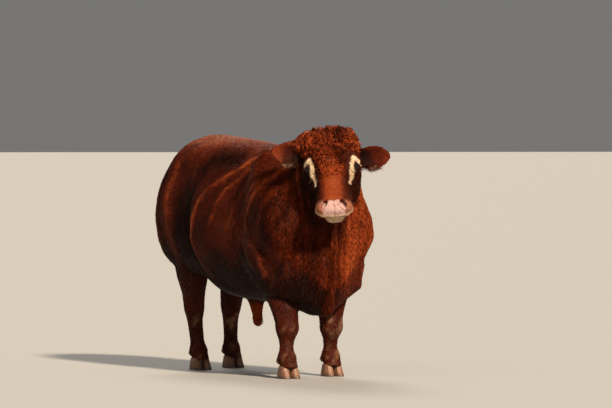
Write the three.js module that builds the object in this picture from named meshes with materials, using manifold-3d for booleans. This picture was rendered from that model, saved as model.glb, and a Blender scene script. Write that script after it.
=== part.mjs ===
// A heavy polled beef bull standing square, its head turned to its right. Millimetres, +Z up.
// It faces -Y and its left is +X. The origin is on the ground under the middle of its box.
import * as THREE from "three";
import { mergeVertices } from "three/addons/utils/BufferGeometryUtils.js";
import Module from "manifold-3d";

const { Vector3, Matrix4 } = THREE;
const radians = THREE.MathUtils.degToRad;
const clamp = THREE.MathUtils.clamp;

// Driving dimensions. Heights are above the ground, "ahead" is towards the muzzle.
const withersHeight = 1420;
const hipHeight = 1460;
const pollHeight = 1462;
const pollAhead = 1020;
const pollSide = -74;
const headTurn = 29.5; // degrees to its right
const faceSlope = 60; // degrees that the face line points below level
const headRoll = 3.5;
const neckTilt = 26; // degrees, of the plane between neck and chest
const coronetHeight = 64;
const buttocksBehind = 1002; // the rump's last point
const originAhead = 115; // the box's middle, ahead of the middle of the feet
const gap = 0.4; // between neighbouring nodes

const X = new Vector3(1, 0, 0);
const Y = new Vector3(0, 1, 0);
const Z = new Vector3(0, 0, 1);

// ---------- fields: each gives about the distance to a surface, below 0 inside ----------

// A curve through [station, value] pairs, smooth and level past its ends.
function profile(pairs) {
  const slope = (i) => {
    const [a, b] = [pairs[Math.max(i - 1, 0)], pairs[Math.min(i + 1, pairs.length - 1)]];
    return (b[1] - a[1]) / (b[0] - a[0]);
  };
  return (s) => {
    if (s <= pairs[0][0]) return pairs[0][1];
    const i = pairs.findIndex((pair) => pair[0] >= s);
    if (i < 0) return pairs[pairs.length - 1][1];
    const [[s0, v0], [s1, v1]] = [pairs[i - 1], pairs[i]];
    const [t, w] = [(s - s0) / (s1 - s0), s1 - s0];
    const [t2, t3] = [t * t, t * t * t];
    return (
      (2 * t3 - 3 * t2 + 1) * v0 + (t3 - 2 * t2 + t) * w * slope(i - 1) +
      (3 * t2 - 2 * t3) * v1 + (t3 - t2) * w * slope(i)
    );
  };
}

function softUnion(a, b, blend) {
  const h = Math.max(blend - Math.abs(a - b), 0) / blend;
  return Math.min(a, b) - (h * h * blend) / 4;
}

// An ellipsoid, leaning about X and then turned about Z, in degrees.
function swell(centre, radii, lean = 0, turn = 0) {
  const home = new Matrix4()
    .makeRotationZ(radians(turn))
    .multiply(new Matrix4().makeRotationX(radians(lean)))
    .setPosition(...centre)
    .invert();
  const [p, q, size] = [new Vector3(), new Vector3(), new Vector3(...radii)];
  return (at) => {
    p.copy(at).applyMatrix4(home).divide(size);
    q.copy(p).divide(size);
    const [near, steep] = [p.length(), q.length()];
    return steep > 1e-9 ? (near * (near - 1)) / steep : -Math.min(...radii);
  };
}

// A tapering limb between two points, squeezed by a factor on each axis.
function limb(from, to, radiusFrom, radiusTo, squeeze = [1, 1, 1]) {
  const [a, b, scale] = [new Vector3(...from), new Vector3(...to), new Vector3(...squeeze)];
  const along = b.clone().sub(a);
  const lengthSq = along.lengthSq();
  const thin = Math.min(...squeeze);
  const v = new Vector3();
  return (at) => {
    const h = clamp(v.copy(at).sub(a).dot(along) / lengthSq, 0, 1);
    v.copy(at).sub(a).addScaledVector(along, -h).divide(scale);
    return (v.length() - (radiusFrom + (radiusTo - radiusFrom) * h)) * thin;
  };
}

// A tube along Y whose top, bottom, half width and widest level change from station to station.
function tube({ top, bottom, half, widest, upper, lower, start, end }) {
  return (at) => {
    const y = clamp(at.y, start, end);
    const middle = widest(y);
    const dz = at.z - middle;
    const high = dz > 0 ? top(y) - middle : middle - bottom(y);
    const power = dz > 0 ? upper(y) : lower(y);
    const rho = (Math.abs(at.x / half(y)) ** power + Math.abs(dz / high) ** power) ** (1 / power);
    const side = rho > 1e-6 ? Math.hypot(at.x, dz) * (1 - 1 / rho) : -Math.min(half(y), high);
    const beyond = Math.max(start - at.y, at.y - end, 0);
    return beyond > 0 ? Math.hypot(Math.max(side, 0), beyond) : side;
  };
}

// Joins [field, blend] pairs. Mirrored, the fields given for the left side serve both.
function joined(pairs, mirrored = false) {
  const q = new Vector3();
  return (at) => {
    q.copy(at);
    if (mirrored) q.x = Math.abs(q.x);
    return pairs.reduce((sum, [field, blend]) => softUnion(sum, field(q), blend), 1e4);
  };
}

// ---------- trunk ----------

const backLine = profile([
  [-900, 760], [-850, 990], [-760, 1170], [-620, 1310], [-460, withersHeight - 20], [-300, 1398],
  [-120, 1396], [0, 1416], [270, 1437], [480, hipHeight - 4], [640, hipHeight],
  [760, 1438], [850, 1391], [920, 1322], [970, 1225], [1000, 1110],
]);
const bellyLine = profile([
  [-900, 520], [-850, 425], [-760, 372], [-620, 384], [-420, 415], [-200, 432], [0, 440],
  [200, 452], [350, 486], [480, 570], [600, 680], [720, 770], [850, 850], [950, 930], [1000, 1020],
]);
const barrelTube = tube({
  start: -900,
  end: 1000,
  top: backLine,
  bottom: bellyLine,
  half: profile([
    [-900, 50], [-850, 130], [-760, 220], [-620, 290], [-450, 315], [-250, 340], [-50, 366],
    [120, 374], [280, 358], [420, 312], [560, 284], [700, 262], [820, 220], [920, 158],
    [980, 100], [1000, 50],
  ]),
  widest: profile([
    [-900, 640], [-700, 800], [-400, 850], [0, 830], [250, 880], [450, 1060], [700, 1150],
    [1000, 1110],
  ]),
  upper: profile([[-900, 2], [-400, 2.1], [0, 2.2], [400, 2.2], [700, 2], [1000, 2]]),
  lower: profile([[-900, 1.9], [-600, 2.1], [-300, 2.2], [100, 2.15], [500, 2], [1000, 2]]),
});

const trunkMuscles = joined(
  [
    [swell([220, -565, 1085], [124, 195, 300], -16), 1], // shoulder blade
    [swell([264, -728, 885], [96, 120, 158], -10), 90], // point of the shoulder
    [swell([266, -550, 765], [100, 168, 192], 12), 90], // back of the upper arm
    [swell([246, -612, 592], [100, 138, 138]), 80], // top of the forearm
    [swell([128, 630, 1288], [94, 190, 86], 6), 80], // rump
    [swell([226, 470, 1318], [40, 66, 44], 0, 12), 60], // hook bone
    [swell([186, 705, 950], [165, 262, 345]), 90], // thigh
    [swell([128, 880, 1010], [105, 95, 270]), 80], // buttock
    [swell([96, 890, 1240], [50, 58, 56]), 60], // pin bone
    [swell([232, 480, 800], [98, 150, 190], -8), 90], // stifle
    [swell([205, 395, 760], [66, 80, 170], 20), 90], // flank fold
  ],
  true,
);
const brisket = swell([0, -735, 585], [195, 165, 195]);
const tailHead = limb([0, 640, 1378], [0, 880, 1322], 56, 44);

const neckMuscles = joined([
  [limb([0, -430, 1254], [-38, -700, 1356], 126, 124, [0.85, 1, 1]), 1], // crest
  [limb([-38, -700, 1356], [pollSide + 4, -960, 1356], 124, 108, [0.85, 1, 1]), 10],
  [limb([0, -540, 1040], [-50, -925, 1220], 292, 176, [0.96, 1, 1.05]), 90], // sides
  [limb([0, -720, 820], [-36, -900, 1090], 190, 100), 90], // throat
]);

const bodyField = joined([
  [barrelTube, 1],
  [trunkMuscles, 90],
  [brisket, 80],
  [tailHead, 60],
  [neckMuscles, 90],
]);

// ---------- head, in a frame of its own: poll at the origin, face line along -Y ----------

const headPlace = new Matrix4()
  .makeTranslation(pollSide, -pollAhead, pollHeight)
  .multiply(new Matrix4().makeRotationZ(radians(-headTurn)))
  .multiply(new Matrix4().makeRotationY(radians(-headRoll)))
  .multiply(new Matrix4().makeRotationX(radians(faceSlope)));
const headHome = headPlace.clone().invert();

const headTube = tube({
  start: -520,
  end: 20,
  top: profile([
    [-520, -82], [-510, -54], [-485, -34], [-440, -20], [-380, -14], [-300, -8], [-220, 2],
    [-120, 12], [-50, 4], [0, -22], [20, -60],
  ]),
  bottom: profile([
    [-520, -104], [-510, -122], [-485, -140], [-450, -156], [-400, -166], [-330, -196],
    [-260, -236], [-180, -262], [-110, -256], [0, -190], [20, -150],
  ]),
  half: profile([
    [-520, 60], [-510, 84], [-485, 102], [-455, 106], [-410, 104], [-350, 102], [-290, 116],
    [-240, 138], [-190, 154], [-120, 156], [-50, 142], [0, 106], [20, 64],
  ]),
  widest: profile([[-528, -92], [-450, -96], [-350, -110], [-220, -100], [-100, -90], [20, -100]]),
  upper: profile([[-520, 2.6], [-450, 3], [-380, 2.5], [-300, 2.1], [-200, 2.4], [0, 2.2]]),
  lower: profile([[-520, 2.2], [-450, 2.4], [-320, 1.9], [0, 2]]),
});
const eyeRadius = 22;
const eyeAt = [136, -214, -40];
const headMuscles = joined(
  [
    [swell([124, -162, -32], [46, 46, 32], 0, -14), 1], // brow
    [swell([122, -208, -66], [44, 48, 42]), 30], // rim of the eye socket
    [swell([122, -252, -106], [32, 72, 24], 8, -10), 40], // cheek bone
    [swell([116, -212, -172], [50, 104, 80], -10), 40], // cheek muscle
    [swell([86, -300, -194], [60, 92, 56], 12), 40], // jowl
    [swell([60, -477, -92], [58, 40, 42]), 30], // upper lip
    [swell([96, -66, -56], [60, 72, 62]), 40], // poll
  ],
  true,
);
const muzzle = joined([
  [swell([0, -476, -74], [98, 42, 48]), 1],
  [swell([0, -467, -168], [68, 53, 42], 6), 16], // chin
]);
const pollCurls = joined([
  [swell([-6, -50, 4], [150, 100, 64]), 1],
  [swell([0, -140, 14], [108, 90, 34]), 40],
  [swell([-6, -20, -60], [126, 62, 80]), 40],
]);
const headLocal = joined([[headTube, 1], [headMuscles, 36], [muzzle, 30], [pollCurls, 24]]);
const inHead = new Vector3();
const headField = (at) => headLocal(inHead.copy(at).applyMatrix4(headHome));

// ---------- legs: each is a chain of limbs from elbow or stifle down to the coronet ----------

const feet = {
  fore_right: [-186, -700], fore_left: [188, -548],
  hind_right: [-150, 560], hind_left: [158, 722],
};

const kneeOver = ([footX, footY]) => [footX * 0.9, footY * 0.5 - 292];
const hockOver = ([footX, footY]) => [footX * 1.05, footY * 0.85 + 162];

function foreLeg([footX, footY]) {
  const [kneeX, kneeY] = kneeOver([footX, footY]);
  const out = Math.sign(footX);
  return joined([
    [limb([out * 228, -565, 640], [kneeX + out * 8, kneeY + 14, 400], 106, 74), 1], // forearm
    [limb([kneeX, kneeY + 6, 400], [kneeX, kneeY, 310], 69, 64, [1.02, 1, 1]), 40],
    [swell([kneeX, kneeY - 10, 298], [70, 66, 66]), 30], // knee
    [limb([kneeX, kneeY + 6, 280], [footX, footY + 26, 130], 47, 43), 34], // cannon
    [swell([footX, footY + 26, 120], [56, 58, 44]), 30], // fetlock
    [limb([footX, footY + 14, 112], [footX, footY - 12, 60], 49, 53, [1.04, 1, 1]), 26], // pastern
  ]);
}

function hindLeg([footX, footY]) {
  const [hockX, hockY] = hockOver([footX, footY]);
  const out = Math.sign(footX);
  return joined([
    [limb([out * 205, 550, 790], [hockX + out * 8, hockY - 24, 475], 165, 90, [0.73, 1, 1]), 1],
    [limb([out * 178, 822, 755], [hockX, hockY + 42, 440], 94, 29), 60], // tendon to the hock
    [swell([hockX, hockY - 14, 390], [58, 78, 80]), 34], // hock
    [swell([hockX, hockY + 50, 425], [26, 28, 40], 14), 30], // point of the hock
    [limb([hockX, hockY, 380], [footX, footY + 32, 130], 58, 48, [0.88, 1, 1]), 34], // cannon
    [swell([footX, footY + 30, 120], [54, 58, 44]), 30], // fetlock
    [limb([footX, footY + 18, 112], [footX, footY - 10, 60], 48, 53, [1.04, 1, 1]), 26], // pastern
  ]);
}

// ---------- lofts over rings, each ring flat and seen whole from its middle ----------

function rayLength(field, from, way, limit) {
  const at = from.clone();
  for (let reach = 0; reach < limit; ) {
    const depth = -field(at);
    if (depth < 0.2) return Math.max(reach, 2);
    reach += Math.max(depth * 0.6, 0.2);
    at.copy(from).addScaledVector(way, reach);
  }
  return limit;
}

// Rays spread in the plane of across and up; wide and tall crowd them to the longer sides.
function castRing(field, { middle, across, up, wide = 1, tall = 1, limit = 1e3 }, count) {
  const spokes = Array.from({ length: count }, (_, i) => {
    const turn = (2 * Math.PI * (i + 0.5)) / count;
    const way = across.clone().multiplyScalar(Math.cos(turn) * wide)
      .addScaledVector(up, Math.sin(turn) * tall).normalize();
    return { way, reach: rayLength(field, middle, way, limit) };
  });
  return { middle, axis: new Vector3().crossVectors(across, up), spokes };
}

// A ring through given points, [along across, along up] from its middle.
function drawnRing(middle, across, up, pairs) {
  const spokes = pairs.map(([x, y]) => {
    const way = across.clone().multiplyScalar(x).addScaledVector(up, y);
    return { way: way.clone().normalize(), reach: way.length() };
  });
  return { middle, axis: new Vector3().crossVectors(across, up), spokes };
}

// Points round an oval, flattened by "square" towards a box.
function oval(halfWide, halfTall, count, square = 1) {
  const bent = (v) => Math.sign(v) * Math.abs(v) ** square;
  return Array.from({ length: count }, (_, i) => {
    const turn = (2 * Math.PI * (i + 0.5)) / count;
    return [halfWide * bent(Math.cos(turn)), halfTall * bent(Math.sin(turn))];
  });
}

// A closed mesh over rings of one count. The ends are flat, shifted along their ring's axis,
// or drawn to a given point. "grow" moves the sides out.
function shell(rings, { grow = 0, first = 0, last = 0, firstPoint, lastPoint } = {}) {
  const count = rings[0].spokes.length;
  const pointsOf = (ring, extra, shift) =>
    ring.spokes.map(({ way, reach }) =>
      ring.middle.clone().addScaledVector(way, reach + extra).addScaledVector(ring.axis, shift));
  const shiftOf = (i) => (i === 0 ? first : i === rings.length - 1 ? last : 0);
  const plain = rings.flatMap((ring) => pointsOf(ring, 0, 0));
  const points = rings.flatMap((ring, i) => pointsOf(ring, grow, shiftOf(i)));
  const [head, tail] = [rings[0], rings[rings.length - 1]];
  points.push(firstPoint ?? head.middle.clone().addScaledVector(head.axis, first));
  points.push(lastPoint ?? tail.middle.clone().addScaledVector(tail.axis, last));
  const index = [];
  for (let ring = 0; ring + 1 < rings.length; ring++)
    for (let i = 0; i < count; i++) {
      const next = (i + 1) % count;
      const [a, b] = [ring * count + i, ring * count + next];
      const [c, d] = [b + count, a + count];
      const shorter = plain[a].distanceTo(plain[c]) < plain[b].distanceTo(plain[d]);
      index.push(...(shorter ? [a, b, c, a, c, d] : [a, b, d, b, c, d]));
    }
  const end = (rings.length - 1) * count;
  for (let i = 0; i < count; i++) {
    const next = (i + 1) % count;
    index.push(points.length - 2, next, i, points.length - 1, end + i, end + next);
  }
  return new THREE.BufferGeometry().setFromPoints(points).setIndex(index);
}

const wasm = await Module();
wasm.setup();

function solid(geometry, flipped = false) {
  const bare = geometry.clone();
  for (const name of ["normal", "uv"]) bare.deleteAttribute(name);
  const merged = mergeVertices(bare, 1e-3);
  const corners = new Uint32Array(merged.index.array);
  if (flipped)
    for (let i = 0; i < corners.length; i += 3)
      [corners[i + 1], corners[i + 2]] = [corners[i + 2], corners[i + 1]];
  const made = new wasm.Manifold(
    new wasm.Mesh({
      numProp: 3,
      vertProperties: new Float32Array(merged.attributes.position.array),
      triVerts: corners,
    }),
  );
  return made.volume() > 0 || flipped ? made : solid(geometry, true);
}

const largest = (made) => made.decompose().reduce((a, b) => (b.volume() > a.volume() ? b : a));
const minus = (made, ...tools) => largest(tools.reduce((left, tool) => left.subtract(tool), made));

// ---------- trunk and neck: one loft, its rings fanning out towards the neck ----------

const bodyRays = 32;
const fanPivot = new Vector3(0, -250, 1900);

function uprightRing(y) {
  const middle = new Vector3(0, y, (backLine(y) + bellyLine(y)) / 2);
  return castRing(bodyField, { middle, across: X, up: Z, wide: 0.8 }, bodyRays);
}

function leaningRing(tilt, height, ahead = 0, side = 0) {
  const lean = radians(tilt);
  const up = new Vector3(0, Math.sin(lean), Math.cos(lean));
  const middle = fanPivot.clone().addScaledVector(up, (height - fanPivot.z) / Math.cos(lean));
  middle.add(new Vector3(side, -ahead, 0));
  return castRing(bodyField, { middle, across: X, up, wide: 0.8 }, bodyRays);
}

const rumpRings = [988, 968, 935, 890, 835, 775, 710, 645, 580, 515, 450, 380].map(uprightRing);
const barrelRings = [380, 300, 210, 115, 20, -75, -165, -250].map(uprightRing);
const chestRings = [
  barrelRings[barrelRings.length - 1],
  ...[3.5, 7, 10.5, 14, 17.5, 21.5, neckTilt].map((tilt) => leaningRing(tilt, 930 + tilt * 4)),
];
const neckRings = [
  chestRings[chestRings.length - 1],
  ...[45, 95, 150, 210, 275, 340, 405, 470].map((ahead) =>
    leaningRing(neckTilt, 1034 + ahead * 0.5, ahead, -ahead * 0.16)),
];
const behindRump = rumpRings[0].middle.clone().setY(buttocksBehind);

const rump = solid(shell(rumpRings, { firstPoint: behindRump, last: -gap / 2 }));
const barrel = solid(shell(barrelRings, { first: gap / 2, last: -gap / 2 }));
const chest = solid(shell(chestRings, { first: gap / 2, last: -gap / 2 }));
const trunkCutter = solid(shell(
  [...rumpRings, ...barrelRings.slice(1), ...chestRings.slice(1), ...neckRings.slice(1)],
  { firstPoint: behindRump.clone().setY(buttocksBehind + gap), grow: gap },
));
const neckCutter = solid(shell(neckRings, { grow: gap }));

// ---------- head ----------

const headSide = new Vector3().setFromMatrixColumn(headPlace, 0);
const headBack = new Vector3().setFromMatrixColumn(headPlace, 1);
const headFront = new Vector3().setFromMatrixColumn(headPlace, 2);
const onHead = (x, y, z) => new Vector3(x, y, z).applyMatrix4(headPlace);

const headRays = 26;
const noseEnd = -516;
const headMiddle = profile([
  [noseEnd, -92], [-450, -92], [-330, -100], [-220, -110], [-100, -90], [0, -25], [44, 4],
]);
const headRings = [
  46, 36, 18, -8, -38, -72, -108, -142, -174, -202, -232, -266, -305, -345, -385, -420, -448, -470,
  -488, -502, -511, noseEnd - 1,
].map((y) => {
  const middle = onHead(0, y, headMiddle(y));
  return castRing(headField, { middle, across: headSide, up: headFront }, headRays);
});
const noseTip = onHead(0, noseEnd, headMiddle(noseEnd));
noseTip.addScaledVector(headBack, -rayLength(headField, noseTip, headBack.clone().negate(), 60));

function ball(at, radii, slant = 0, turn = 0, detail = 10) {
  const geometry = new THREE.SphereGeometry(1, detail, Math.round(detail * 0.7)).toNonIndexed();
  geometry.scale(...radii).rotateX(radians(slant)).rotateZ(radians(turn)).translate(...at);
  return geometry;
}
const inHeadFrame = (geometry) => solid(geometry.applyMatrix4(headPlace));

const mirrored = ([x, y, z], side) => [side * x, y, z];
const eyeball = (radius) => [-1, 1].map((side) =>
  inHeadFrame(ball(mirrored(eyeAt, side), [radius, radius, radius], 90)));
const nostrilAt = [55, -463, -28];
const nostrilRadii = [10, 24, 18];
const nostrilTurn = 36;
const nostrils = [-1, 1].map((side) =>
  inHeadFrame(ball(mirrored(nostrilAt, side), nostrilRadii, 0, side * nostrilTurn, 9)));
const mouthAt = [0, -515, -128];
const mouthSize = [240, 70, 3];
const mouth = inHeadFrame(
  new THREE.BoxGeometry(...mouthSize).toNonIndexed().translate(...mouthAt));
const head = minus(
  solid(shell(headRings, { lastPoint: noseTip })), ...eyeball(eyeRadius + gap), ...nostrils, mouth);
const eyes = eyeball(eyeRadius);
const headCutter = solid(shell(headRings, {
  grow: gap, lastPoint: noseTip.clone().addScaledVector(headBack, -gap),
}));

const neck = minus(solid(shell(neckRings, { first: gap / 2 })), headCutter);

// A leaf cupped towards the front: [share of its length, half width, half thickness, cup depth].
const earStations = [
  [0, 40, 9, 32], [0.16, 55, 8, 36], [0.33, 70, 7, 36], [0.5, 77, 6, 31], [0.67, 76, 5, 23],
  [0.82, 62, 4.5, 14], [0.93, 40, 4, 7], [1, 17, 3.5, 2],
];
function ear(base, tip, breadth) {
  const [from, to] = [onHead(...base), onHead(...tip)];
  const along = to.clone().sub(from);
  const opening = headFront.clone().multiplyScalar(0.87).addScaledVector(headBack, -0.5);
  const across = new Vector3().crossVectors(along, opening).normalize();
  const front = new Vector3().crossVectors(across, along).normalize();
  const rings = earStations.map(([share, half, thick, cup]) => {
    const middle = from.clone().addScaledVector(along, share);
    const steps = [-1, -0.72, -0.38, 0, 0.38, 0.72, 1];
    const edge = (s, side) => [
      half * breadth * s, -cup * (1 - s * s) + side * (thick * Math.sqrt(1 - s * s) + 2),
    ];
    const pairs = [
      ...steps.map((s) => edge(s, -1)), ...steps.toReversed().map((s) => edge(s, 1)),
    ];
    return drawnRing(middle, across, front, pairs);
  });
  return minus(solid(shell(rings)), headCutter, neckCutter);
}
const ears = {
  ear_right: ear([-112, -134, -52], [-352, -70, -44], 0.84),
  ear_left: ear([112, -154, -62], [345, -140, -66], 0.92),
};

// ---------- legs ----------

function legPart(field, levels, midline, ends) {
  const rings = levels.map((z) => {
    const [x, y] = midline(z);
    return castRing(field, { middle: new Vector3(x, y, z), across: X, up: Y, limit: 240 }, 14);
  });
  return { whole: solid(shell(rings, ends)), cutter: solid(shell(rings, { ...ends, grow: gap })) };
}

// Runs through [height, x, y] places on the way down a leg.
function midlineThrough(places) {
  const sorted = places.toSorted((a, b) => a[0] - b[0]);
  const [xs, ys] = [1, 2].map((k) => profile(sorted.map((place) => [place[0], place[k]])));
  return (z) => [xs(z), ys(z)];
}

function leg(name) {
  const [footX, footY] = feet[name];
  const out = Math.sign(footX);
  const fore = name.startsWith("fore");
  const field = fore ? foreLeg(feet[name]) : hindLeg(feet[name]);
  const [kneeX, kneeY] = fore ? kneeOver(feet[name]) : hockOver(feet[name]);
  const midline = midlineThrough(fore
    ? [[660, out * 232, -560], [400, kneeX, kneeY + 8], [300, kneeX, kneeY],
      [130, footX, footY + 24], [coronetHeight, footX, footY]]
    : [[800, out * 200, 590], [600, kneeX + out * 18, kneeY * 0.6 + 250], [400, kneeX, kneeY + 8],
      [130, footX, footY + 32], [coronetHeight, footX, footY]]);
  const split = fore ? 262 : 322;
  const upper = fore
    ? [660, 610, 560, 510, 460, 415, 375, 345, 318, 290, split]
    : [790, 740, 690, 635, 580, 530, 485, 450, 420, 390, 355, split];
  const lower = fore
    ? [split, 235, 200, 168, 146, 128, 108, 90, 74, coronetHeight]
    : [split, 285, 240, 195, 165, 142, 122, 104, 84, coronetHeight];
  const top = legPart(field, upper, midline, { last: gap / 2 });
  const bottom = legPart(field, lower, midline, { first: -gap / 2 });
  const claws = [-1, 1].map((side) => claw(footX, footY, side));
  const dewclaws = [-1, 1].map((side) => {
    const whole = ball([footX + side * 27, footY + 78, 104], [17, 17, 24], -22, 0, 5);
    return minus(solid(whole), bottom.cutter);
  });
  return { top: minus(top.whole, trunkCutter), bottom: bottom.whole, claws, dewclaws };
}

// Half a hoof, flat below, its front wall sloping back: [height, half width, toe, heel].
const clawLevels = [
  [0, 29, 66, 62], [10, 30, 64, 63], [34, 28, 50, 60], [coronetHeight - gap, 25, 32, 52],
];
function claw(footX, footY, side) {
  const rings = clawLevels.map(([z, half, toe, heel]) => {
    const middle = new Vector3(footX + side * (31.5 - z * 0.02), footY, z);
    const pairs = oval(half, 1, 10, 0.8).map(([x, y]) =>
      [x * side > 0 ? x : x * 0.93, y < 0 ? y * toe : y * heel]);
    return drawnRing(middle, X, Y, pairs);
  });
  return solid(shell(rings));
}

// ---------- tail, sheath, scrotum ----------

function hanging(stations, count, across = X, toFront = Y) {
  const rings = stations.map(([y, z, halfX, halfY, x = 0]) =>
    drawnRing(new Vector3(x, y, z), across, toFront, oval(halfX, halfY, count)));
  return solid(shell(rings));
}
const tail = minus(hanging([
  [885, 1338, 28, 34], [925, 1318, 31, 38], [962, 1272, 30, 32], [988, 1200, 28, 26],
  [1004, 1100, 25, 23], [1008, 980, 22, 20], [1003, 860, 19, 18], [994, 740, 17, 16],
  [988, 680, 16, 15],
], 10), trunkCutter);
const tailSwitch = hanging([
  [988, 680 - gap, 16, 15], [984, 640, 26, 24], [978, 580, 40, 36], [974, 500, 46, 42],
  [972, 430, 38, 34], [974, 380, 20, 18], [976, 356, 6, 6],
], 10);
const sheath = minus(hanging([
  [96, 490, 60, 140], [94, 450, 48, 96], [88, 412, 37, 70], [82, 378, 31, 57],
  [76, 346, 28, 47], [68, 318, 24, 38], [64, 298, 13, 19],
], 12), trunkCutter);
const dewlap = minus(hanging([
  [-800, 372, 20, 60], [-815, 392, 27, 88], [-822, 430, 30, 100], [-826, 500, 30, 100],
  [-836, 580, 28, 96], [-848, 680, 25, 92], [-862, 780, 24, 88], [-882, 880, 23, 84, -14],
  [-908, 960, 22, 78, -32], [-930, 1010, 20, 66, -46], [-940, 1040, 16, 44, -54],
].toReversed(), 12), trunkCutter, headCutter);
const scrotum = minus(hanging([
  [500, 800, 40, 50], [505, 740, 44, 46], [508, 690, 50, 46], [508, 630, 62, 54],
  [506, 570, 66, 58], [505, 520, 54, 48], [505, 494, 24, 22],
], 14), trunkCutter);

// ---------- nodes ----------

const colours = {
  coat: new THREE.MeshStandardMaterial({ color: 0x6b2c16, roughness: 0.8 }),
  horn: new THREE.MeshStandardMaterial({ color: 0x3a2f28, roughness: 0.6 }),
  eye: new THREE.MeshStandardMaterial({ color: 0x120c09, roughness: 0.15 }),
};
const bull = new THREE.Group();

function add(name, made, colour = "coat") {
  const mesh = made.getMesh();
  const geometry = new THREE.BufferGeometry()
    .setAttribute("position", new THREE.BufferAttribute(new Float32Array(mesh.vertProperties), 3))
    .setIndex(new THREE.BufferAttribute(new Uint32Array(mesh.triVerts), 1));
  geometry.translate(0, originAhead, 0);
  const node = new THREE.Mesh(geometry, colours[colour]);
  node.name = name;
  bull.add(node);
}

for (const [name, made] of Object.entries({
  head, neck, dewlap, chest, barrel, rump, tail, tail_switch: tailSwitch, sheath, scrotum, ...ears,
}))
  add(name, made);
add("eye_right", eyes[0], "eye");
add("eye_left", eyes[1], "eye");
for (const name of Object.keys(feet)) {
  const { top, bottom, claws, dewclaws } = leg(name);
  add(`${name}_leg_upper`, top);
  add(`${name}_leg_lower`, bottom);
  ["a", "b"].forEach((letter, i) => {
    add(`${name}_claw_${letter}`, claws[i], "horn");
    add(`${name}_dewclaw_${letter}`, dewclaws[i], "horn");
  });
}

export default bull;
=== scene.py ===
import math

import bmesh
import bpy
import numpy as np
from mathutils import Matrix, Vector
from mathutils.bvhtree import BVHTree


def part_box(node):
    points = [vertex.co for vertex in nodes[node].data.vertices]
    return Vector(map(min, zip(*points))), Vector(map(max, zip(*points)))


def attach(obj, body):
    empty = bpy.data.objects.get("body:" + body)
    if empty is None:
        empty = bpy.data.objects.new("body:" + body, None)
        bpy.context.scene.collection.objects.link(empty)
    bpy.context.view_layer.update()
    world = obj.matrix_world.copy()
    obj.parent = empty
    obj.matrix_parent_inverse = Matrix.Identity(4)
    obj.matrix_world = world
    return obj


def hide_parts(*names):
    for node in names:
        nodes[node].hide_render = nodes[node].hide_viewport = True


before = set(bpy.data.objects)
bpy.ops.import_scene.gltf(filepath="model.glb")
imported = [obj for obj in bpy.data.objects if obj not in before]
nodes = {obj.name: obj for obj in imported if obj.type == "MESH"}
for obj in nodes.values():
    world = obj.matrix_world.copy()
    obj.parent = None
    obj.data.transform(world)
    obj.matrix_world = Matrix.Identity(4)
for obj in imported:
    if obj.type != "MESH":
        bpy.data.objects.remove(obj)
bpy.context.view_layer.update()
feetMiddle = 0.115  # along Y; places on the body are measured ahead of it

view = {
    "place": (-13.166, -25.725, 1.391),
    "target": (0.2336, -0.004, 1.031),
    "lens": 279.8,
    "sensor": 36.0,
}


def makeCamera():
    data = bpy.data.cameras.new("camera")
    data.lens, data.sensor_width = view["lens"], view["sensor"]
    data.clip_end = 3000.0
    camera = addObject("camera", data)
    place = Vector(view["place"])
    camera.location = place
    camera.rotation_euler = (Vector(view["target"]) - place).to_track_quat("-Z", "Y").to_euler()
    bpy.context.scene.camera = camera


studio = {
    "floorSize": 1600.0,
    "floorColour": (0.40, 0.385, 0.36, 1.0),
    "floorShade": (0.37, 0.355, 0.33, 1.0),
    "sky": (0.92, 0.90, 0.88, 1.0),
    "skyStrength": 0.20,
    "exposure": 0.0,
    # the lights' directions: azimuth from +Y round to +X, height, strength, softness in degrees, colour
    "key": (181.0, 33.0, 6.4, 5.0, (1.0, 0.86, 0.68)),
    "fill": (235.0, 40.0, 0.30, 30.0, (1.0, 0.90, 0.80)),
    "rim": (20.0, 42.0, 1.3, 20.0, (1.0, 0.94, 0.86)),
}


def makeStudio():
    scene = bpy.context.scene
    scene.view_settings.view_transform = "Standard"
    scene.view_settings.exposure = studio["exposure"]
    world = bpy.data.worlds.new("studio")
    world.use_nodes = True
    background = world.node_tree.nodes["Background"]
    background.inputs["Color"].default_value = studio["sky"]
    background.inputs["Strength"].default_value = studio["skyStrength"]
    scene.world = world
    for name in ("key", "fill", "rim"):
        azimuth, height, strength, softness, colour = studio[name]
        data = bpy.data.lights.new(name, "SUN")
        data.energy, data.color, data.angle = strength, colour, math.radians(softness)
        light = addObject(name, data)
        turn, rise = math.radians(azimuth), math.radians(height)
        flat = math.cos(rise)
        toward = Vector((math.sin(turn) * flat, math.cos(turn) * flat, math.sin(rise)))
        light.rotation_euler = (-toward).to_track_quat("-Z", "Y").to_euler()
        light.location = toward * 10.0
    shape = bmesh.new()
    bmesh.ops.create_grid(shape, x_segments=1, y_segments=1, size=studio["floorSize"] / 2)
    floor = addObject("floor", meshFrom(shape, "floor"))
    graph = Graph("floor")
    soft = graph.noise(graph.place(), 3.0, 3.0)
    colour = graph.mix(soft * 0.3, studio["floorColour"], studio["floorShade"])
    graph.finish({"Base Color": colour, "Roughness": 0.8})
    floor.data.materials.append(graph.material)


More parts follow.
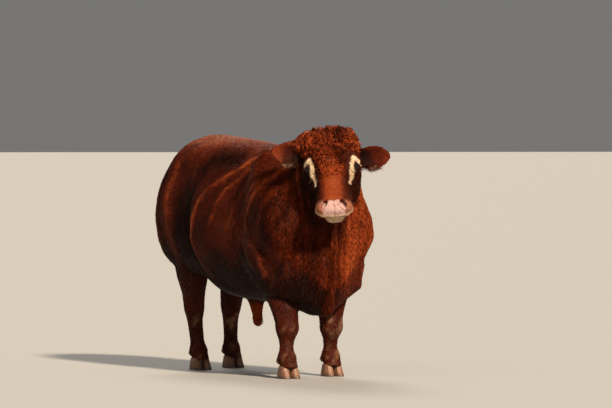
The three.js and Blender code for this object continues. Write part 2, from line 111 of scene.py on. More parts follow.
class Wire:  # one output socket, whose arithmetic adds Math nodes
    def __init__(self, graph, socket):
        self.graph, self.socket = graph, socket

    def math(self, operation, *values):
        sockets = dict(enumerate(values))
        return self.graph.node("ShaderNodeMath", {"operation": operation}, sockets)

    def __add__(self, other):
        return self.math("ADD", self, other)

    def __sub__(self, other):
        return self.math("SUBTRACT", self, other)

    def __rsub__(self, other):
        return self.math("SUBTRACT", other, self)

    def __mul__(self, other):
        return self.math("MULTIPLY", self, other)

    def __pow__(self, other):
        return self.math("POWER", self, other)

    __radd__ = __add__
    __rmul__ = __mul__

    def steps(self, low, high):  # 0 below low, 1 above high, smooth between
        settings = {"interpolation_type": "SMOOTHSTEP"}
        return self.graph.node("ShaderNodeMapRange", settings, {0: self, 1: low, 2: high})


class Graph:
    def __init__(self, name):
        self.material = bpy.data.materials.new(name)
        self.material.use_nodes = True
        self.tree = self.material.node_tree
        self.tree.nodes.clear()

    def node(self, kind, settings, sockets, output=0):
        made = self.tree.nodes.new(kind)
        for key, value in settings.items():
            if key == "stops":
                ramp = made.color_ramp
                while len(ramp.elements) < len(value):
                    ramp.elements.new(1.0)
                for element, (position, colour) in zip(ramp.elements, value):
                    element.position, element.color = position, colour
            else:
                setattr(made, key, value)
        for key, value in sockets.items():
            if isinstance(value, Wire):
                self.tree.links.new(value.socket, made.inputs[key])
            else:
                made.inputs[key].default_value = value
        return Wire(self, made.outputs[output]) if made.outputs else None

    def place(self):
        return self.node("ShaderNodeTexCoord", {}, {}, "Object")

    def attribute(self, name):
        return self.node("ShaderNodeAttribute", {"attribute_name": name}, {}, "Fac")

    def noise(self, vector, scale, detail=2.0, roughness=0.5):
        sockets = {"Vector": vector, "Scale": scale, "Detail": detail, "Roughness": roughness}
        return self.node("ShaderNodeTexNoise", {}, sockets)

    def stretch(self, vector, scale, turn=(0.0, 0.0, 0.0)):
        return self.node("ShaderNodeMapping", {}, {0: vector, 2: turn, 3: scale})

    def mix(self, factor, first, second, blend="MIX"):
        settings = {"data_type": "RGBA", "blend_type": blend}
        return self.node("ShaderNodeMix", settings, {0: factor, 6: first, 7: second}, 2)

    def bump(self, height, strength, distance):
        sockets = {"Strength": strength, "Distance": distance, "Height": height}
        return self.node("ShaderNodeBump", {}, sockets)

    def finish(self, sockets):
        shader = self.node("ShaderNodeBsdfPrincipled", {}, sockets)
        self.node("ShaderNodeOutputMaterial", {}, {"Surface": shader})


def smooth(low, high, value):
    t = np.clip((value - low) / (high - low), 0.0, 1.0)
    return t * t * (3.0 - 2.0 * t)


def unit(vectors):
    return vectors / np.maximum(np.linalg.norm(vectors, axis=-1, keepdims=True), 1e-9)


def addObject(name, data):
    made = bpy.data.objects.new(name, data)
    bpy.context.collection.objects.link(made)
    return made


def meshFrom(shape, name):
    mesh = bpy.data.meshes.new(name)
    shape.to_mesh(mesh)
    shape.free()
    return mesh


def writeAttribute(mesh, key, values):  # one number at each point, for the finishes
    made = mesh.attributes.new(key, "FLOAT", "POINT")
    made.data.foreach_set("value", np.asarray(values, dtype=np.float32))


def readPoints(mesh):
    flat = np.empty(len(mesh.vertices) * 3)
    mesh.vertices.foreach_get("co", flat)
    return flat.reshape(-1, 3)


def writePoints(mesh, points):
    mesh.vertices.foreach_set("co", points.ravel())
    mesh.update()


def readEdges(mesh):
    flat = np.empty(len(mesh.edges) * 2, dtype=np.int32)
    mesh.edges.foreach_get("vertices", flat)
    return flat.reshape(-1, 2)


def readTriangles(mesh):
    mesh.calc_loop_triangles()
    flat = np.empty(len(mesh.loop_triangles) * 3, dtype=np.int32)
    mesh.loop_triangles.foreach_get("vertices", flat)
    return flat.reshape(-1, 3)


def gather(index, values, count):  # sums rows of values at each index
    columns = [np.bincount(index, values[:, k], count) for k in range(values.shape[1])]
    return np.stack(columns, 1)


def neighbourMean(values, edges):
    index = np.concatenate([edges[:, 0], edges[:, 1]])
    other = np.concatenate([edges[:, 1], edges[:, 0]])
    flat = values.reshape(len(values), -1)
    degree = np.bincount(index, minlength=len(values))[:, None]
    mean = gather(index, flat[other], len(values)) / np.maximum(degree, 1)
    return mean.reshape(values.shape)


def relax(values, edges, share, rounds):
    for _ in range(rounds):
        values = values + share * (neighbourMean(values, edges) - values)
    return values


def normalsOf(points, triangles):
    a, b, c = points[triangles[:, 0]], points[triangles[:, 1]], points[triangles[:, 2]]
    face = np.cross(b - a, c - a)
    total = sum(gather(triangles[:, k], face, len(points)) for k in range(3))
    return unit(total)


def waves(points, size, seed, octaves=2):  # smooth noise, about -1 to 1, with waves of a size
    draw = np.random.default_rng(seed)
    total = np.zeros(len(points))
    for octave in range(octaves):
        ways = unit(draw.normal(size=(6, 3))) * (2.0 * math.pi * 2.0**octave / size)
        shift = draw.uniform(0.0, 2.0 * math.pi, 6)
        total += np.sin(points @ ways.T + shift).sum(1) / (3.0 * 1.8**octave)
    return total / 1.4


def bakeModifiers(thing):
    graph = bpy.context.evaluated_depsgraph_get()
    made = bpy.data.meshes.new_from_object(thing.evaluated_get(graph))
    thing.modifiers.clear()
    thing.data = made
    return made


# the head frame: poll at the origin, face line along -Y, out of the face along +Z
headFrame = (
    Matrix.Translation((-0.074, -0.905, 1.462))
    @ Matrix.Rotation(math.radians(-29.5), 4, "Z")
    @ Matrix.Rotation(math.radians(-3.5), 4, "Y")
    @ Matrix.Rotation(math.radians(60.0), 4, "X")
)
headTurn = np.array(headFrame.to_3x3())
headPlace = np.array(headFrame.translation)


def toHead(points):
    return (points - headPlace) @ headTurn


# nodes by the start of their names, how far the facets are relaxed, and the coat's depth
regions = {
    "head": {"nodes": ("head",), "relax": 0.22, "coat": 0.0035},
    "ear": {"nodes": ("ear_",), "relax": 0.12, "coat": 0.002},
    "neck": {"nodes": ("neck",), "relax": 0.60, "coat": 0.007},
    "trunk": {"nodes": ("chest", "barrel", "rump"), "relax": 0.60, "coat": 0.006},
    "dewlap": {"nodes": ("dewlap",), "relax": 0.30, "coat": 0.006},
    "leg": {"nodes": ("fore_", "hind_"), "relax": 0.12, "coat": 0.004},
    "tail": {"nodes": ("tail",), "relax": 0.15, "coat": 0.004},
    "switch": {"nodes": ("tail_switch",), "relax": 0.10, "coat": 0.020},
    "sheath": {"nodes": ("sheath",), "relax": 0.25, "coat": 0.006},
    "scrotum": {"nodes": ("scrotum",), "relax": 0.30, "coat": 0.003},
}
skinMake = {
    "voxel": 0.006,
    "keptShare": 0.25,  # of the faces away from the head
    "relaxRounds": 20,
    "refillReach": 0.030,
    "refillRounds": 12,
    "fineBox": ((-0.20, -0.56, -0.18), (0.20, -0.14, 0.10)),  # of the face, in the head frame
}
fleshNodes = [name for name in nodes if "claw" not in name and not name.startswith("eye_")]


def regionOf(name):
    found = ""
    for region, facts in regions.items():
        if any(name.startswith(start) for start in facts["nodes"]):
            found = region
    return found


def blankSkin():
    shape = bmesh.new()
    for name in fleshNodes:
        shape.from_mesh(nodes[name].data)
    bmesh.ops.remove_doubles(shape, verts=shape.verts, dist=1e-5)
    skin = addObject("skin", meshFrom(shape, "skin"))
    remesh = skin.modifiers.new("one hide", "REMESH")
    remesh.mode, remesh.voxel_size = "VOXEL", skinMake["voxel"]
    mesh = bakeModifiers(skin)
    local = toHead(readPoints(mesh))
    onHead = (local[:, 1] > -0.60) & (local[:, 1] < 0.06) & (local[:, 2] > -0.26)
    onHead &= np.abs(local[:, 0]) < 0.40
    body = skin.vertex_groups.new(name="body")
    body.add(np.nonzero(~onHead)[0].tolist(), 1.0, "REPLACE")
    decimate = skin.modifiers.new("coarser body", "DECIMATE")
    decimate.vertex_group, decimate.ratio = "body", skinMake["keptShare"]
    bakeModifiers(skin)
    skin.vertex_groups.clear()
    return skin


def fleshTree():  # the solids' faces, and the region of each
    corners, faces, owners = [], [], []
    names = list(regions)
    for name in fleshNodes:
        mesh = nodes[name].data
        start = len(corners)
        corners.extend(vertex.co.copy() for vertex in mesh.vertices)
        faces.extend([start + i for i in patch.vertices] for patch in mesh.polygons)
        owners.extend([names.index(regionOf(name))] * len(mesh.polygons))
    return BVHTree.FromPolygons(corners, faces), owners


flesh, fleshOwners = fleshTree()


def regionShares(points):  # one column per region
    nearest = [fleshOwners[flesh.find_nearest(point)[2]] for point in points]
    return np.eye(len(regions))[nearest]


def refill(points, edges, triangles):  # moves smoothed points back out to the solids, evenly
    normals = normalsOf(points, triangles)
    reach = skinMake["refillReach"]
    starts = points + normals * reach
    hits = [flesh.ray_cast(start, -way, 2.0 * reach)[3] for start, way in zip(starts, normals)]
    found = np.array([hit is not None for hit in hits])
    short = np.array([reach - hit if hit is not None else 0.0 for hit in hits])
    short = np.where(found & (np.abs(short) < reach * 0.9), short, 0.0)
    short = relax(short[:, None], edges, 0.5, skinMake["refillRounds"])
    return points + normals * short


def shareOf(shares, *names):  # of some regions together, at each point
    return sum(shares[:, list(regions).index(name)] for name in names)


def blend(shares, fact):
    return shares @ np.array([facts[fact] for facts in regions.values()])


def refineFace(skin):
    low, high = skinMake["fineBox"]
    shape = bmesh.new()
    shape.from_mesh(skin.data)
    local = toHead(np.array([vertex.co for vertex in shape.verts]))
    inside = np.all((local > low) & (local < high), axis=1)
    edges = [edge for edge in shape.edges if all(inside[v.index] for v in edge.verts)]
    bmesh.ops.subdivide_edges(shape, edges=edges, cuts=1, use_grid_fill=True)
    bmesh.ops.triangulate(shape, faces=[face for face in shape.faces if len(face.verts) > 4])
    shape.to_mesh(skin.data)
    shape.free()


mop = {  # the curly hair of poll and forehead, in the head frame: centre, radii, depth
    "domes": (
        ((-0.006, -0.035, -0.02), (0.160, 0.135, 0.120), 0.032),
        ((-0.006, -0.118, 0.0), (0.096, 0.132, 0.080), 0.017),
    ),
    "deepest": 0.032,
}


def mopDepth(local):  # how far the skin lies under the curls
    depth = np.zeros(len(local))
    for middle, radii, dome in mop["domes"]:
        reach = np.linalg.norm((local - middle) / radii, axis=1) + 0.13 * waves(local, 0.05, 13)
        depth = np.maximum(depth, dome * (1.0 - smooth(0.62, 1.15, reach)))
    return depth * smooth(-0.15, -0.07, local[:, 2])


face = {
    "nostril": (0.056, -0.463, -0.028),
    "nostrilRadii": (0.0140, 0.0270, 0.024),
    "nostrilTurn": 36.0,
    "nostrilDepth": 0.018,
    "mouthLevel": -0.092,
    "mouthFront": 0.515,
    "mouthRise": 0.22,
    "mouthEnd": -0.405,
    "mouthDepth": 0.0120,
    "furrow": -0.402,
    "furrowDepth": 0.0045,
    "bag": ((0.128, -0.232), (0.112, -0.275), (0.098, -0.325)),  # crease below the eye, side and down
    # lines along the cheek as (down, out) places: path, height, width, where it starts sideways
    "cheekLines": (
        (((-0.245, -0.105), (-0.30, -0.098), (-0.375, -0.105)), 0.005, 0.013, (0.07, 0.10)),
        (((-0.16, -0.20), (-0.26, -0.165), (-0.33, -0.15), (-0.40, -0.14)), -0.005, 0.016, (0.06, 0.09)),
    ),
}


def nostrilReach(local, side):  # 1 at a nostril's rim
    place = np.array(face["nostril"]) * (side, 1, 1)
    turn = math.radians(-side * face["nostrilTurn"])
    dx, dy, dz = (local - place).T
    across = dx * math.cos(turn) - dy * math.sin(turn)
    along = dx * math.sin(turn) + dy * math.cos(turn)
    wide, long, deep = face["nostrilRadii"]
    return np.sqrt((across / wide) ** 2 + (along / long) ** 2 + (dz / deep) ** 2)


def faceRelief(local):  # how far the head's skin is pushed out, in metres
    x, y, z = local.T
    height = np.zeros(len(local))
    for side in (-1, 1):
        reach = nostrilReach(local, side)
        height -= face["nostrilDepth"] * (1.0 - smooth(0.45, 1.25, reach))
        height += 0.0050 * np.exp(-(((reach - 1.65) / 0.42) ** 2))
    front = smooth(-0.43, -0.46, y) * smooth(-0.115, -0.09, z)
    height -= 0.003 * front * np.exp(-((x / 0.004) ** 2))  # groove of the lip
    line = face["furrow"] - 1.6 * x * x
    above = smooth(-0.09, -0.05, z)
    height -= face["furrowDepth"] * above * np.exp(-(((y - line) / 0.008) ** 2))
    height += 0.0035 * above * np.exp(-(((y - line + 0.022) / 0.013) ** 2))
    height -= 0.002 * above * np.exp(-(((y - line - 0.024) / 0.006) ** 2))
    level = face["mouthLevel"] - face["mouthRise"] * (y + face["mouthFront"])
    ahead = smooth(face["mouthEnd"], face["mouthEnd"] - 0.025, y)
    height -= face["mouthDepth"] * ahead * np.exp(-(((z - level) / 0.0050) ** 2))
    height += 0.0030 * ahead * np.exp(-(((z - level - 0.015) / 0.010) ** 2))
    height -= 0.0060 * ahead * smooth(level - 0.002, level - 0.008, z) * smooth(-0.21, -0.15, z)
    side = np.abs(x)
    lip = smooth(0.070, 0.100, side) * smooth(-0.42, -0.46, y)
    height -= 0.011 * lip * np.exp(-(((z + 0.102) / 0.030) ** 2))
    height += 0.006 * lip * np.exp(-(((z + 0.035) / 0.022) ** 2))
    below = pathReach(side, y, face["bag"])
    height -= 0.0045 * np.exp(-((below / 0.010) ** 2)) * smooth(-0.13, -0.10, z)
    for path, tall, width, sideways in face["cheekLines"]:
        away = pathReach(y, z, path)
        height += tall * np.exp(-((away / width) ** 2)) * smooth(*sideways, side)
    return height * smooth(-0.08, -0.14, y)


def pathReach(a, b, path):  # distance from points (a, b) to a line through a few places
    best = np.full(len(a), 1e9)
    for (a0, b0), (a1, b1) in zip(path, path[1:]):
        da, db = a1 - a0, b1 - b0
        t = np.clip(((a - a0) * da + (b - b0) * db) / (da * da + db * db), 0.0, 1.0)
        best = np.minimum(best, np.hypot(a - a0 - t * da, b - b0 - t * db))
    return best


folds = {
    "even": 0.0030,
    "spacing": 0.070,
    "front": 0.0085,
    "frontSpacing": 0.060,
    "rough": 0.0025,
    "tallest": 0.012,
    "litWidth": 0.60,  # of a ridge's width, for the highlight painted along its middle
    # ridges and creases as (ahead of the feet's middle, height) places: path, height, width
    "ridges": (
        (((0.33, 1.33), (0.10, 1.22), (-0.10, 1.115), (-0.185, 1.045), (-0.245, 0.94),
          (-0.27, 0.81), (-0.22, 0.735), (-0.165, 0.65), (-0.08, 0.60)), 0.012, 0.020),
        (((0.35, 1.27), (0.22, 1.19), (0.12, 1.13), (0.03, 1.01), (-0.02, 0.90)), 0.008, 0.016),
        (((0.48, 1.22), (0.34, 1.13), (0.24, 1.02), (0.20, 0.90)), 0.006, 0.015),
        (((0.62, 1.20), (0.50, 1.145), (0.43, 1.075), (0.37, 0.97)), 0.008, 0.016),
        (((0.79, 1.32), (0.735, 1.25), (0.635, 1.18), (0.545, 1.105), (0.47, 1.02),
          (0.43, 0.95), (0.46, 0.86), (0.55, 0.79), (0.64, 0.72), (0.68, 0.62)), 0.012, 0.019),
        (((0.74, 1.16), (0.66, 1.06), (0.62, 0.94), (0.66, 0.82)), 0.006, 0.015),
        (((0.88, 1.28), (0.905, 1.13), (0.89, 1.00), (0.86, 0.86)), 0.010, 0.015),
        (((0.96, 1.22), (0.955, 1.08), (0.96, 0.92), (0.94, 0.78)), 0.008, 0.013),
        (((1.03, 1.14), (1.04, 1.00), (1.02, 0.86)), 0.007, 0.012),
        (((-0.60, 1.28), (-0.66, 1.05), (-0.62, 0.86), (-0.55, 0.72)), 0.006, 0.040),
    ),
    "creases": (
        (((-0.26, 1.22), (-0.35, 1.06), (-0.385, 0.90), (-0.34, 0.76), (-0.25, 0.64)), 0.022, 0.044),
        (((0.10, 1.31), (-0.04, 1.30), (-0.18, 1.27)), 0.012, 0.060),
        (((0.84, 1.30), (0.80, 1.12), (0.80, 0.92)), 0.008, 0.024),
        (((0.36, 0.78), (0.44, 0.68), (0.56, 0.60)), 0.010, 0.030),
        (((-0.75, 1.22), (-0.77, 1.00), (-0.72, 0.80), (-0.64, 0.66)), 0.006, 0.024),
        (((-0.36, 0.86), (-0.44, 0.72), (-0.52, 0.62)), 0.006, 0.030),
    ),
}


def ridgePlaces(points, normals):  # places across each ridge, and how far a point faces sideways
    ahead = feetMiddle - points[:, 1]
    wander = 0.010 * waves(points, 0.20, 3)
    return ahead + wander, smooth(0.20, 0.60, np.abs(normals[:, 0]))


def foldRelief(points, normals):  # how far the hide of the body is pushed out
    ahead, z = feetMiddle - points[:, 1], points[:, 2]
    shifted, sideways = ridgePlaces(points, normals)
    patchy = np.clip(0.75 + 0.35 * waves(points * (1.0, 1.0, 0.45), 0.24, 5), 0.0, 1.2)
    height = np.zeros(len(points))
    for path, tall, width in folds["ridges"]:
        away = pathReach(shifted, z, path)
        height += tall * patchy * np.exp(-((away / width) ** 2)) * sideways
    for path, deep, width in folds["creases"]:
        away = pathReach(shifted, z, path)
        height -= deep * np.exp(-((away / width) ** 2)) * sideways
    lean = 1.1 * (z - 1.15) * (1.0 - smooth(0.25, 0.82, ahead))
    turns = (ahead - lean) / folds["spacing"] + 0.5 * waves(points, 0.5, 4)
    crest = 0.5 + 0.5 * np.cos(2 * math.pi * turns)
    reach = smooth(0.0, 0.25, ahead) * smooth(0.60, 0.82, z) * (1.0 - smooth(1.26, 1.36, z))
    height += folds["even"] * sideways * reach * patchy * crest
    fore = smooth(0.30, 0.75, -normals[:, 1]) * smooth(0.50, 0.62, z) * (1.0 - smooth(1.10, 1.25, z))
    turns = points[:, 0] / folds["frontSpacing"] + 0.35 * waves(points, 0.4, 7)
    streak = 0.5 + 0.5 * np.cos(2 * math.pi * turns)
    height += folds["front"] * fore * patchy * streak**2
    return height + folds["rough"] * waves(points, 0.16, 11) * smooth(0.35, 0.5, z)


def litCrests(points, normals):  # 1 along the middle of the tallest ridges, where a highlight is painted
    shifted, sideways = ridgePlaces(points, normals)
    patchy = np.clip(0.75 + 0.5 * waves(points * (1.0, 1.0, 0.45), 0.16, 5), 0.15, 1.2)
    lit = np.zeros(len(points))
    for path, tall, width in folds["ridges"]:
        away = pathReach(shifted, points[:, 2], path) / (folds["litWidth"] * width)
        lit = np.maximum(lit, tall / folds["tallest"] * np.exp(-(away**2)))
    return lit * patchy * sideways


lids = {
    "clear": 0.0007,
    "thick": 0.0034,
    "outer": 0.040,
    "half": (64.0, 37.0, 30.0),  # degrees from the pupil to the corners, upper and lower lid
    "tilt": 25.0,
    "count": 44,
    "gaze": (0.64, -0.14, 0.75),
}


def eyeAxes(side):  # outwards, to the inner corner, up; in the head frame
    gaze = Vector(lids["gaze"])
    gaze.x *= side
    gaze.normalize()
    tilt = math.radians(lids["tilt"])
    inner = Vector((0.0, -math.cos(tilt), math.sin(tilt)))
    inner = (inner - gaze * inner.dot(gaze)).normalized()
    up = inner.cross(gaze) * side
    if up.y < 0:
        up = -up
    return gaze, inner, up


def eyeFacts(side):
    low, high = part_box("eye_left" if side > 0 else "eye_right")
    middle = Vector(toHead(np.array([(low + high) / 2]))[0])
    return middle, (high - low).length / (2.0 * math.sqrt(3.0))


def lidRings(tree, side):
    middle, radius = eyeFacts(side)
    gaze, inner, up = eyeAxes(side)
    shell, pocket = radius + lids["thick"], radius + lids["clear"]
    corner, above, under = (math.radians(v) for v in lids["half"])
    rings = [[] for _ in range(15)]
    for i in range(lids["count"]):
        turn = 2.0 * math.pi * i / lids["count"]
        way = inner * math.cos(turn) + up * math.sin(turn)
        high = above if math.sin(turn) > 0 else under
        rim = ((abs(math.cos(turn)) / corner) ** 1.6 + (abs(math.sin(turn)) / high) ** 1.6) ** (-1 / 1.6)

        def at(out, tip):  # on a sphere round the eye, an angle from the pupil
            return middle + gaze * (out * math.cos(tip)) + way * (out * math.sin(tip))

        for k, reach in enumerate((lids["outer"] - 0.0015, 0.0350, 0.0305, 0.0270)):
            start = middle + way * reach + gaze * 0.08
            world = headFrame @ start
            toward = (headFrame.to_3x3() @ -gaze).normalized()
            hit = tree.ray_cast(world, toward, 0.16)[0]
            level = 0.08 - (hit - world).length if hit else 0.008
            ball = math.sqrt(max(shell * shell - reach * reach, 0.0))
            lift = math.log(math.exp(level / 0.003) + math.exp(ball / 0.003)) * 0.003 if k else level
            crease = 0.0016 * max(math.sin(turn), 0.0) if k == 2 else 0.0
            rings[k].append(middle + way * reach + gaze * (lift - crease))
        wide = math.radians(76.0)
        for k, share in enumerate((0.80, 0.52, 0.26, 0.08)):
            rings[4 + k].append(at(shell, rim + (wide - rim) * share))
        rings[8].append(at(shell - 0.0007, rim))
        rings[9].append(at((shell + pocket) / 2, rim - 0.035))
        rings[10].append(at(pocket, rim + 0.01))
        for k, share in enumerate((0.12, 0.34, 0.60, 0.86)):
            rings[11 + k].append(at(pocket, rim + (math.pi - rim) * share))
    return rings


def fitLids(skin):
    shape = bmesh.new()
    shape.from_mesh(skin.data)
    tree = BVHTree.FromBMesh(shape)
    for side in (-1, 1):
        rings = lidRings(tree, side)
        middle, _ = eyeFacts(side)
        gaze, _, _ = eyeAxes(side)
        home = headFrame.inverted()
        gone = []
        for patch in shape.faces:
            away = home @ patch.calc_center_median() - middle
            deep = away.dot(gaze)
            if -0.045 < deep < 0.05 and (away - gaze * deep).length < lids["outer"]:
                gone.append(patch)
        bmesh.ops.delete(shape, geom=gone, context="FACES")
        border = [edge for edge in shape.edges if edge.is_boundary]
        for ring in rings:
            made = [shape.verts.new(headFrame @ point) for point in ring]
            loop = [shape.edges.new((made[i - 1], made[i])) for i in range(len(made))]
            bmesh.ops.bridge_loops(shape, edges=border + loop)
            border = loop
        bmesh.ops.contextual_create(shape, geom=border)
    bmesh.ops.triangulate(shape, faces=[patch for patch in shape.faces if len(patch.verts) > 4])
    bmesh.ops.recalc_face_normals(shape, faces=shape.faces)
    shape.to_mesh(skin.data)
    shape.free()


def makeSkin():
    skin = blankSkin()
    mesh = skin.data
    points, edges = readPoints(mesh), readEdges(mesh)
    shares = relax(regionShares(points), edges, 0.5, 4)
    share = blend(shares, "relax")[:, None]
    points = relax(points, edges, share, skinMake["relaxRounds"])
    thin = shareOf(shares, "ear")[:, None]
    for _ in range(8):  # evens the thin edges without shrinking them
        points = relax(points, edges, 0.60 * thin, 1)
        points = relax(points, edges, -0.63 * thin, 1)
    for _ in range(2):
        points = refill(points, edges, readTriangles(mesh))
    writePoints(mesh, points)
    refineFace(skin)
    mesh = skin.data
    points, edges, triangles = readPoints(mesh), readEdges(mesh), readTriangles(mesh)
    shares = relax(regionShares(points), edges, 0.5, 8)
    local = toHead(points)
    low, high = np.array(skinMake["fineBox"])
    fine = np.all((local > low) & (local < high), axis=1)[:, None]
    points = relax(points, edges, 0.5 * fine, 4)
    normals = normalsOf(points, triangles)
    local = toHead(points)
    head = shareOf(shares, "head")
    near = (head > 0.02) & (local[:, 2] > -0.30)
    depth = blend(shares, "coat") + mopDepth(local) * near
    height = foldRelief(points, normals) * (1.0 - head) * (1.0 - thinShare(shares))
    height += faceRelief(local) * head
    points = points + normals * (height - depth)[:, None]
    points = relax(points, edges, 0.25 * (1.0 - thinShare(shares))[:, None], 2)
    writePoints(mesh, points)
    fitLids(skin)
    skin.data.shade_smooth()
    print("skin:", len(skin.data.vertices), "points,", len(readTriangles(skin.data)), "triangles")
    return skin


def thinShare(shares):
    return shareOf(shares, "ear", "tail", "switch", "leg").clip(0, 1)


def makeEye(side):
    middle, radius = eyeFacts(side)
    gaze, inner, up = eyeAxes(side)
    shape = bmesh.new()
    bmesh.ops.create_uvsphere(shape, u_segments=48, v_segments=32, radius=radius)
    across, high = [], []
    for vertex in shape.verts:
        x, y, z = vertex.co / radius
        bulge = 1.0 + 0.06 * float(smooth(0.78, 0.95, np.array(z)))
        local = middle + (inner * x + up * y + gaze * z) * radius * bulge
        across.append(x if z > 0 else math.copysign(2.0, x))
        high.append(y if z > 0 else 2.0)
        vertex.co = headFrame @ local
    bmesh.ops.recalc_face_normals(shape, faces=shape.faces)
    name = "eyeball_left" if side > 0 else "eyeball_right"
    mesh = meshFrom(shape, name)
    writeAttribute(mesh, "across", across)
    writeAttribute(mesh, "high", high)
    mesh.shade_smooth()
    eye = addObject(name, mesh)
    mesh.materials.append(eyeFinish())
    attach(eye, "root")
    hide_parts("eye_left" if side > 0 else "eye_right")


eyeLook = {
    "irisDark": (0.010, 0.004, 0.003, 1.0),
    "irisLight": (0.034, 0.013, 0.006, 1.0),
    "irisRim": (0.012, 0.006, 0.004, 1.0),
    "white": (0.20, 0.14, 0.12, 1.0),
    "whiteVeined": (0.12, 0.05, 0.04, 1.0),
    "pupil": (0.003, 0.003, 0.006, 1.0),
    "pupilShape": (1.9, 3.2),  # one over its half width and half height, in radii of the eye
}


def eyeFinish():
    graph = Graph("wet eye")
    look, (wide, tall) = eyeLook, eyeLook["pupilShape"]
    across, high = graph.attribute("across"), graph.attribute("high")
    radius = (across * across + high * high) ** 0.5
    slot = ((across * wide) ** 2.0 + (high * tall) ** 2.0) ** 0.5
    streaks = graph.noise(graph.stretch(graph.place(), (420.0, 420.0, 420.0)), 1.0, 3.0)
    iris = graph.mix(streaks, look["irisDark"], look["irisLight"])
    iris = graph.mix(radius.steps(0.50, 0.66), iris, look["irisRim"])
    white = graph.mix(streaks.steps(0.45, 0.7), look["white"], look["whiteVeined"])
    colour = graph.mix(radius.steps(0.82, 0.90), iris, white)
    colour = graph.mix(slot.steps(0.95, 1.08), look["pupil"], colour)
    graph.finish({"Base Color": colour, "Roughness": 0.10, "Specular IOR Level": 0.22})
    return graph.material


def makeHoof(name):
    source = nodes[name].data
    shape = bmesh.new()
    shape.from_mesh(source)
    bmesh.ops.remove_doubles(shape, verts=shape.verts, dist=1e-5)
    level = math.radians(2.0)
    bmesh.ops.dissolve_limit(shape, angle_limit=level, verts=shape.verts, edges=shape.edges)
    if "dewclaw" not in name:  # the top goes up into the hair, so that no gap shows
        top = max(vertex.co.z for vertex in shape.verts)
        places = [vertex.co.xy for vertex in shape.verts]
        middle = sum(places, Vector((0.0, 0.0))) / len(places)
        for vertex in shape.verts:
            if vertex.co.z > top - hoof["crown"]:
                vertex.co.xy = middle + (vertex.co.xy - middle) * hoof["inset"]
                vertex.co.z += hoof["raised"]
    crease = shape.edges.layers.float.new("crease_edge")
    for edge in shape.edges:
        low = max(vertex.co.z for vertex in edge.verts) < hoof["sole"]
        edge[crease] = 1.0 if low else hoof["firm"]
    mesh = meshFrom(shape, "hoof_" + name)
    made = addObject("hoof_" + name, mesh)
    rounding = made.modifiers.new("rounding", "SUBSURF")
    rounding.levels, rounding.render_levels = hoof["levels"], hoof["levels"]
    mesh.shade_smooth()
    mesh.materials.append(finishes["horn"])
    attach(made, "root")
    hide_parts(name)


hoof = {
    "sole": 0.004,
    "firm": 0.60,
    "crown": 0.008,
    "inset": 0.93,
    "raised": 0.012,
    "levels": 2,
    "pale": (0.330, 0.1500, 0.0750, 1.0),
    "brown": (0.110, 0.0450, 0.0240, 1.0),
    "soil": (0.060, 0.0400, 0.0270, 1.0),
}


def hornFinish():
    graph = Graph("hoof horn")
    place = graph.place()
    height = graph.node("ShaderNodeSeparateXYZ", {}, {0: place}, "Z")
    rings = graph.noise(graph.stretch(place, (9.0, 9.0, 210.0)), 1.0, 2.0)
    grain = graph.noise(graph.stretch(place, (160.0, 160.0, 18.0)), 1.0, 3.0)
    colour = graph.mix(grain.steps(0.35, 0.65) * 0.6 + rings * 0.3, hoof["brown"], hoof["pale"])
    colour = graph.mix((1.0 - height.steps(0.004, 0.030)) * grain.steps(0.3, 0.6), colour, hoof["soil"])
    graph.finish({
        "Base Color": colour, "Roughness": 0.48,
        "Normal": graph.bump(rings + grain * 0.4, 0.35, 0.0015),
    })
    return graph.material


lies = {  # the way the hair runs: sideways out, back, up
    "neck": (0.0, 0.40, -0.92),
    "trunk": (0.0, 0.55, -0.83),
    "dewlap": (0.0, 0.10, -1.0),
    "leg": (0.0, 0.12, -1.0),
    "tail": (0.0, 0.0, -1.0),
    "switch": (0.0, 0.0, -1.0),
    "sheath": (0.0, 0.05, -1.0),
    "scrotum": (0.0, 0.1, -1.0),
}
whorl = -0.185  # its place down the forehead, in the head frame
# swirls of the forehead's curls: place, reach and spin
swirls = ((-0.078, -0.085, 0.050, 5.0), (0.088, -0.060, 0.045, -4.0), (-0.010, -0.020, 0.040, -3.0),
          (0.045, -0.140, 0.032, 1.6), (-0.050, -0.165, 0.030, -1.4))


def headLie(local, normals):
    x, y, z = local.T
    turned = normals @ headTurn
    sideways = smooth(0.35, 0.75, np.abs(turned[:, 0]))[:, None]
    below = smooth(whorl + 0.02, whorl - 0.04, y)[:, None]
    up = np.stack([x * 6.0, np.full(len(x), 1.0), np.full(len(x), -0.4)], 1)
    down = np.stack([x * 2.5, np.full(len(x), -1.0), np.full(len(x), 0.0)], 1)
    cheek = np.stack([np.zeros(len(x)), np.full(len(x), -0.15), np.full(len(x), -1.0)], 1)
    top = unit(up * (1.0 - below) + down * below)
    for px, py, reach, spin in swirls:
        dx, dy = x - px, y - py
        pull = spin * np.exp(-(dx * dx + dy * dy) / (reach * reach)) / reach
        top = top + np.stack([-dy * pull, dx * pull, np.zeros(len(x))], 1)
    way = unit(top) * (1.0 - sideways) + cheek * sideways
    under = smooth(-0.10, -0.14, z)[:, None] * (1.0 - sideways)
    way = way * (1.0 - under) + np.array((0.0, 0.6, -0.6)) * under
    return way @ headTurn.T


def earLie(local):
    way = np.stack([np.sign(local[:, 0]), np.full(len(local), 0.1), np.full(len(local), -0.1)], 1)
    return way @ headTurn.T


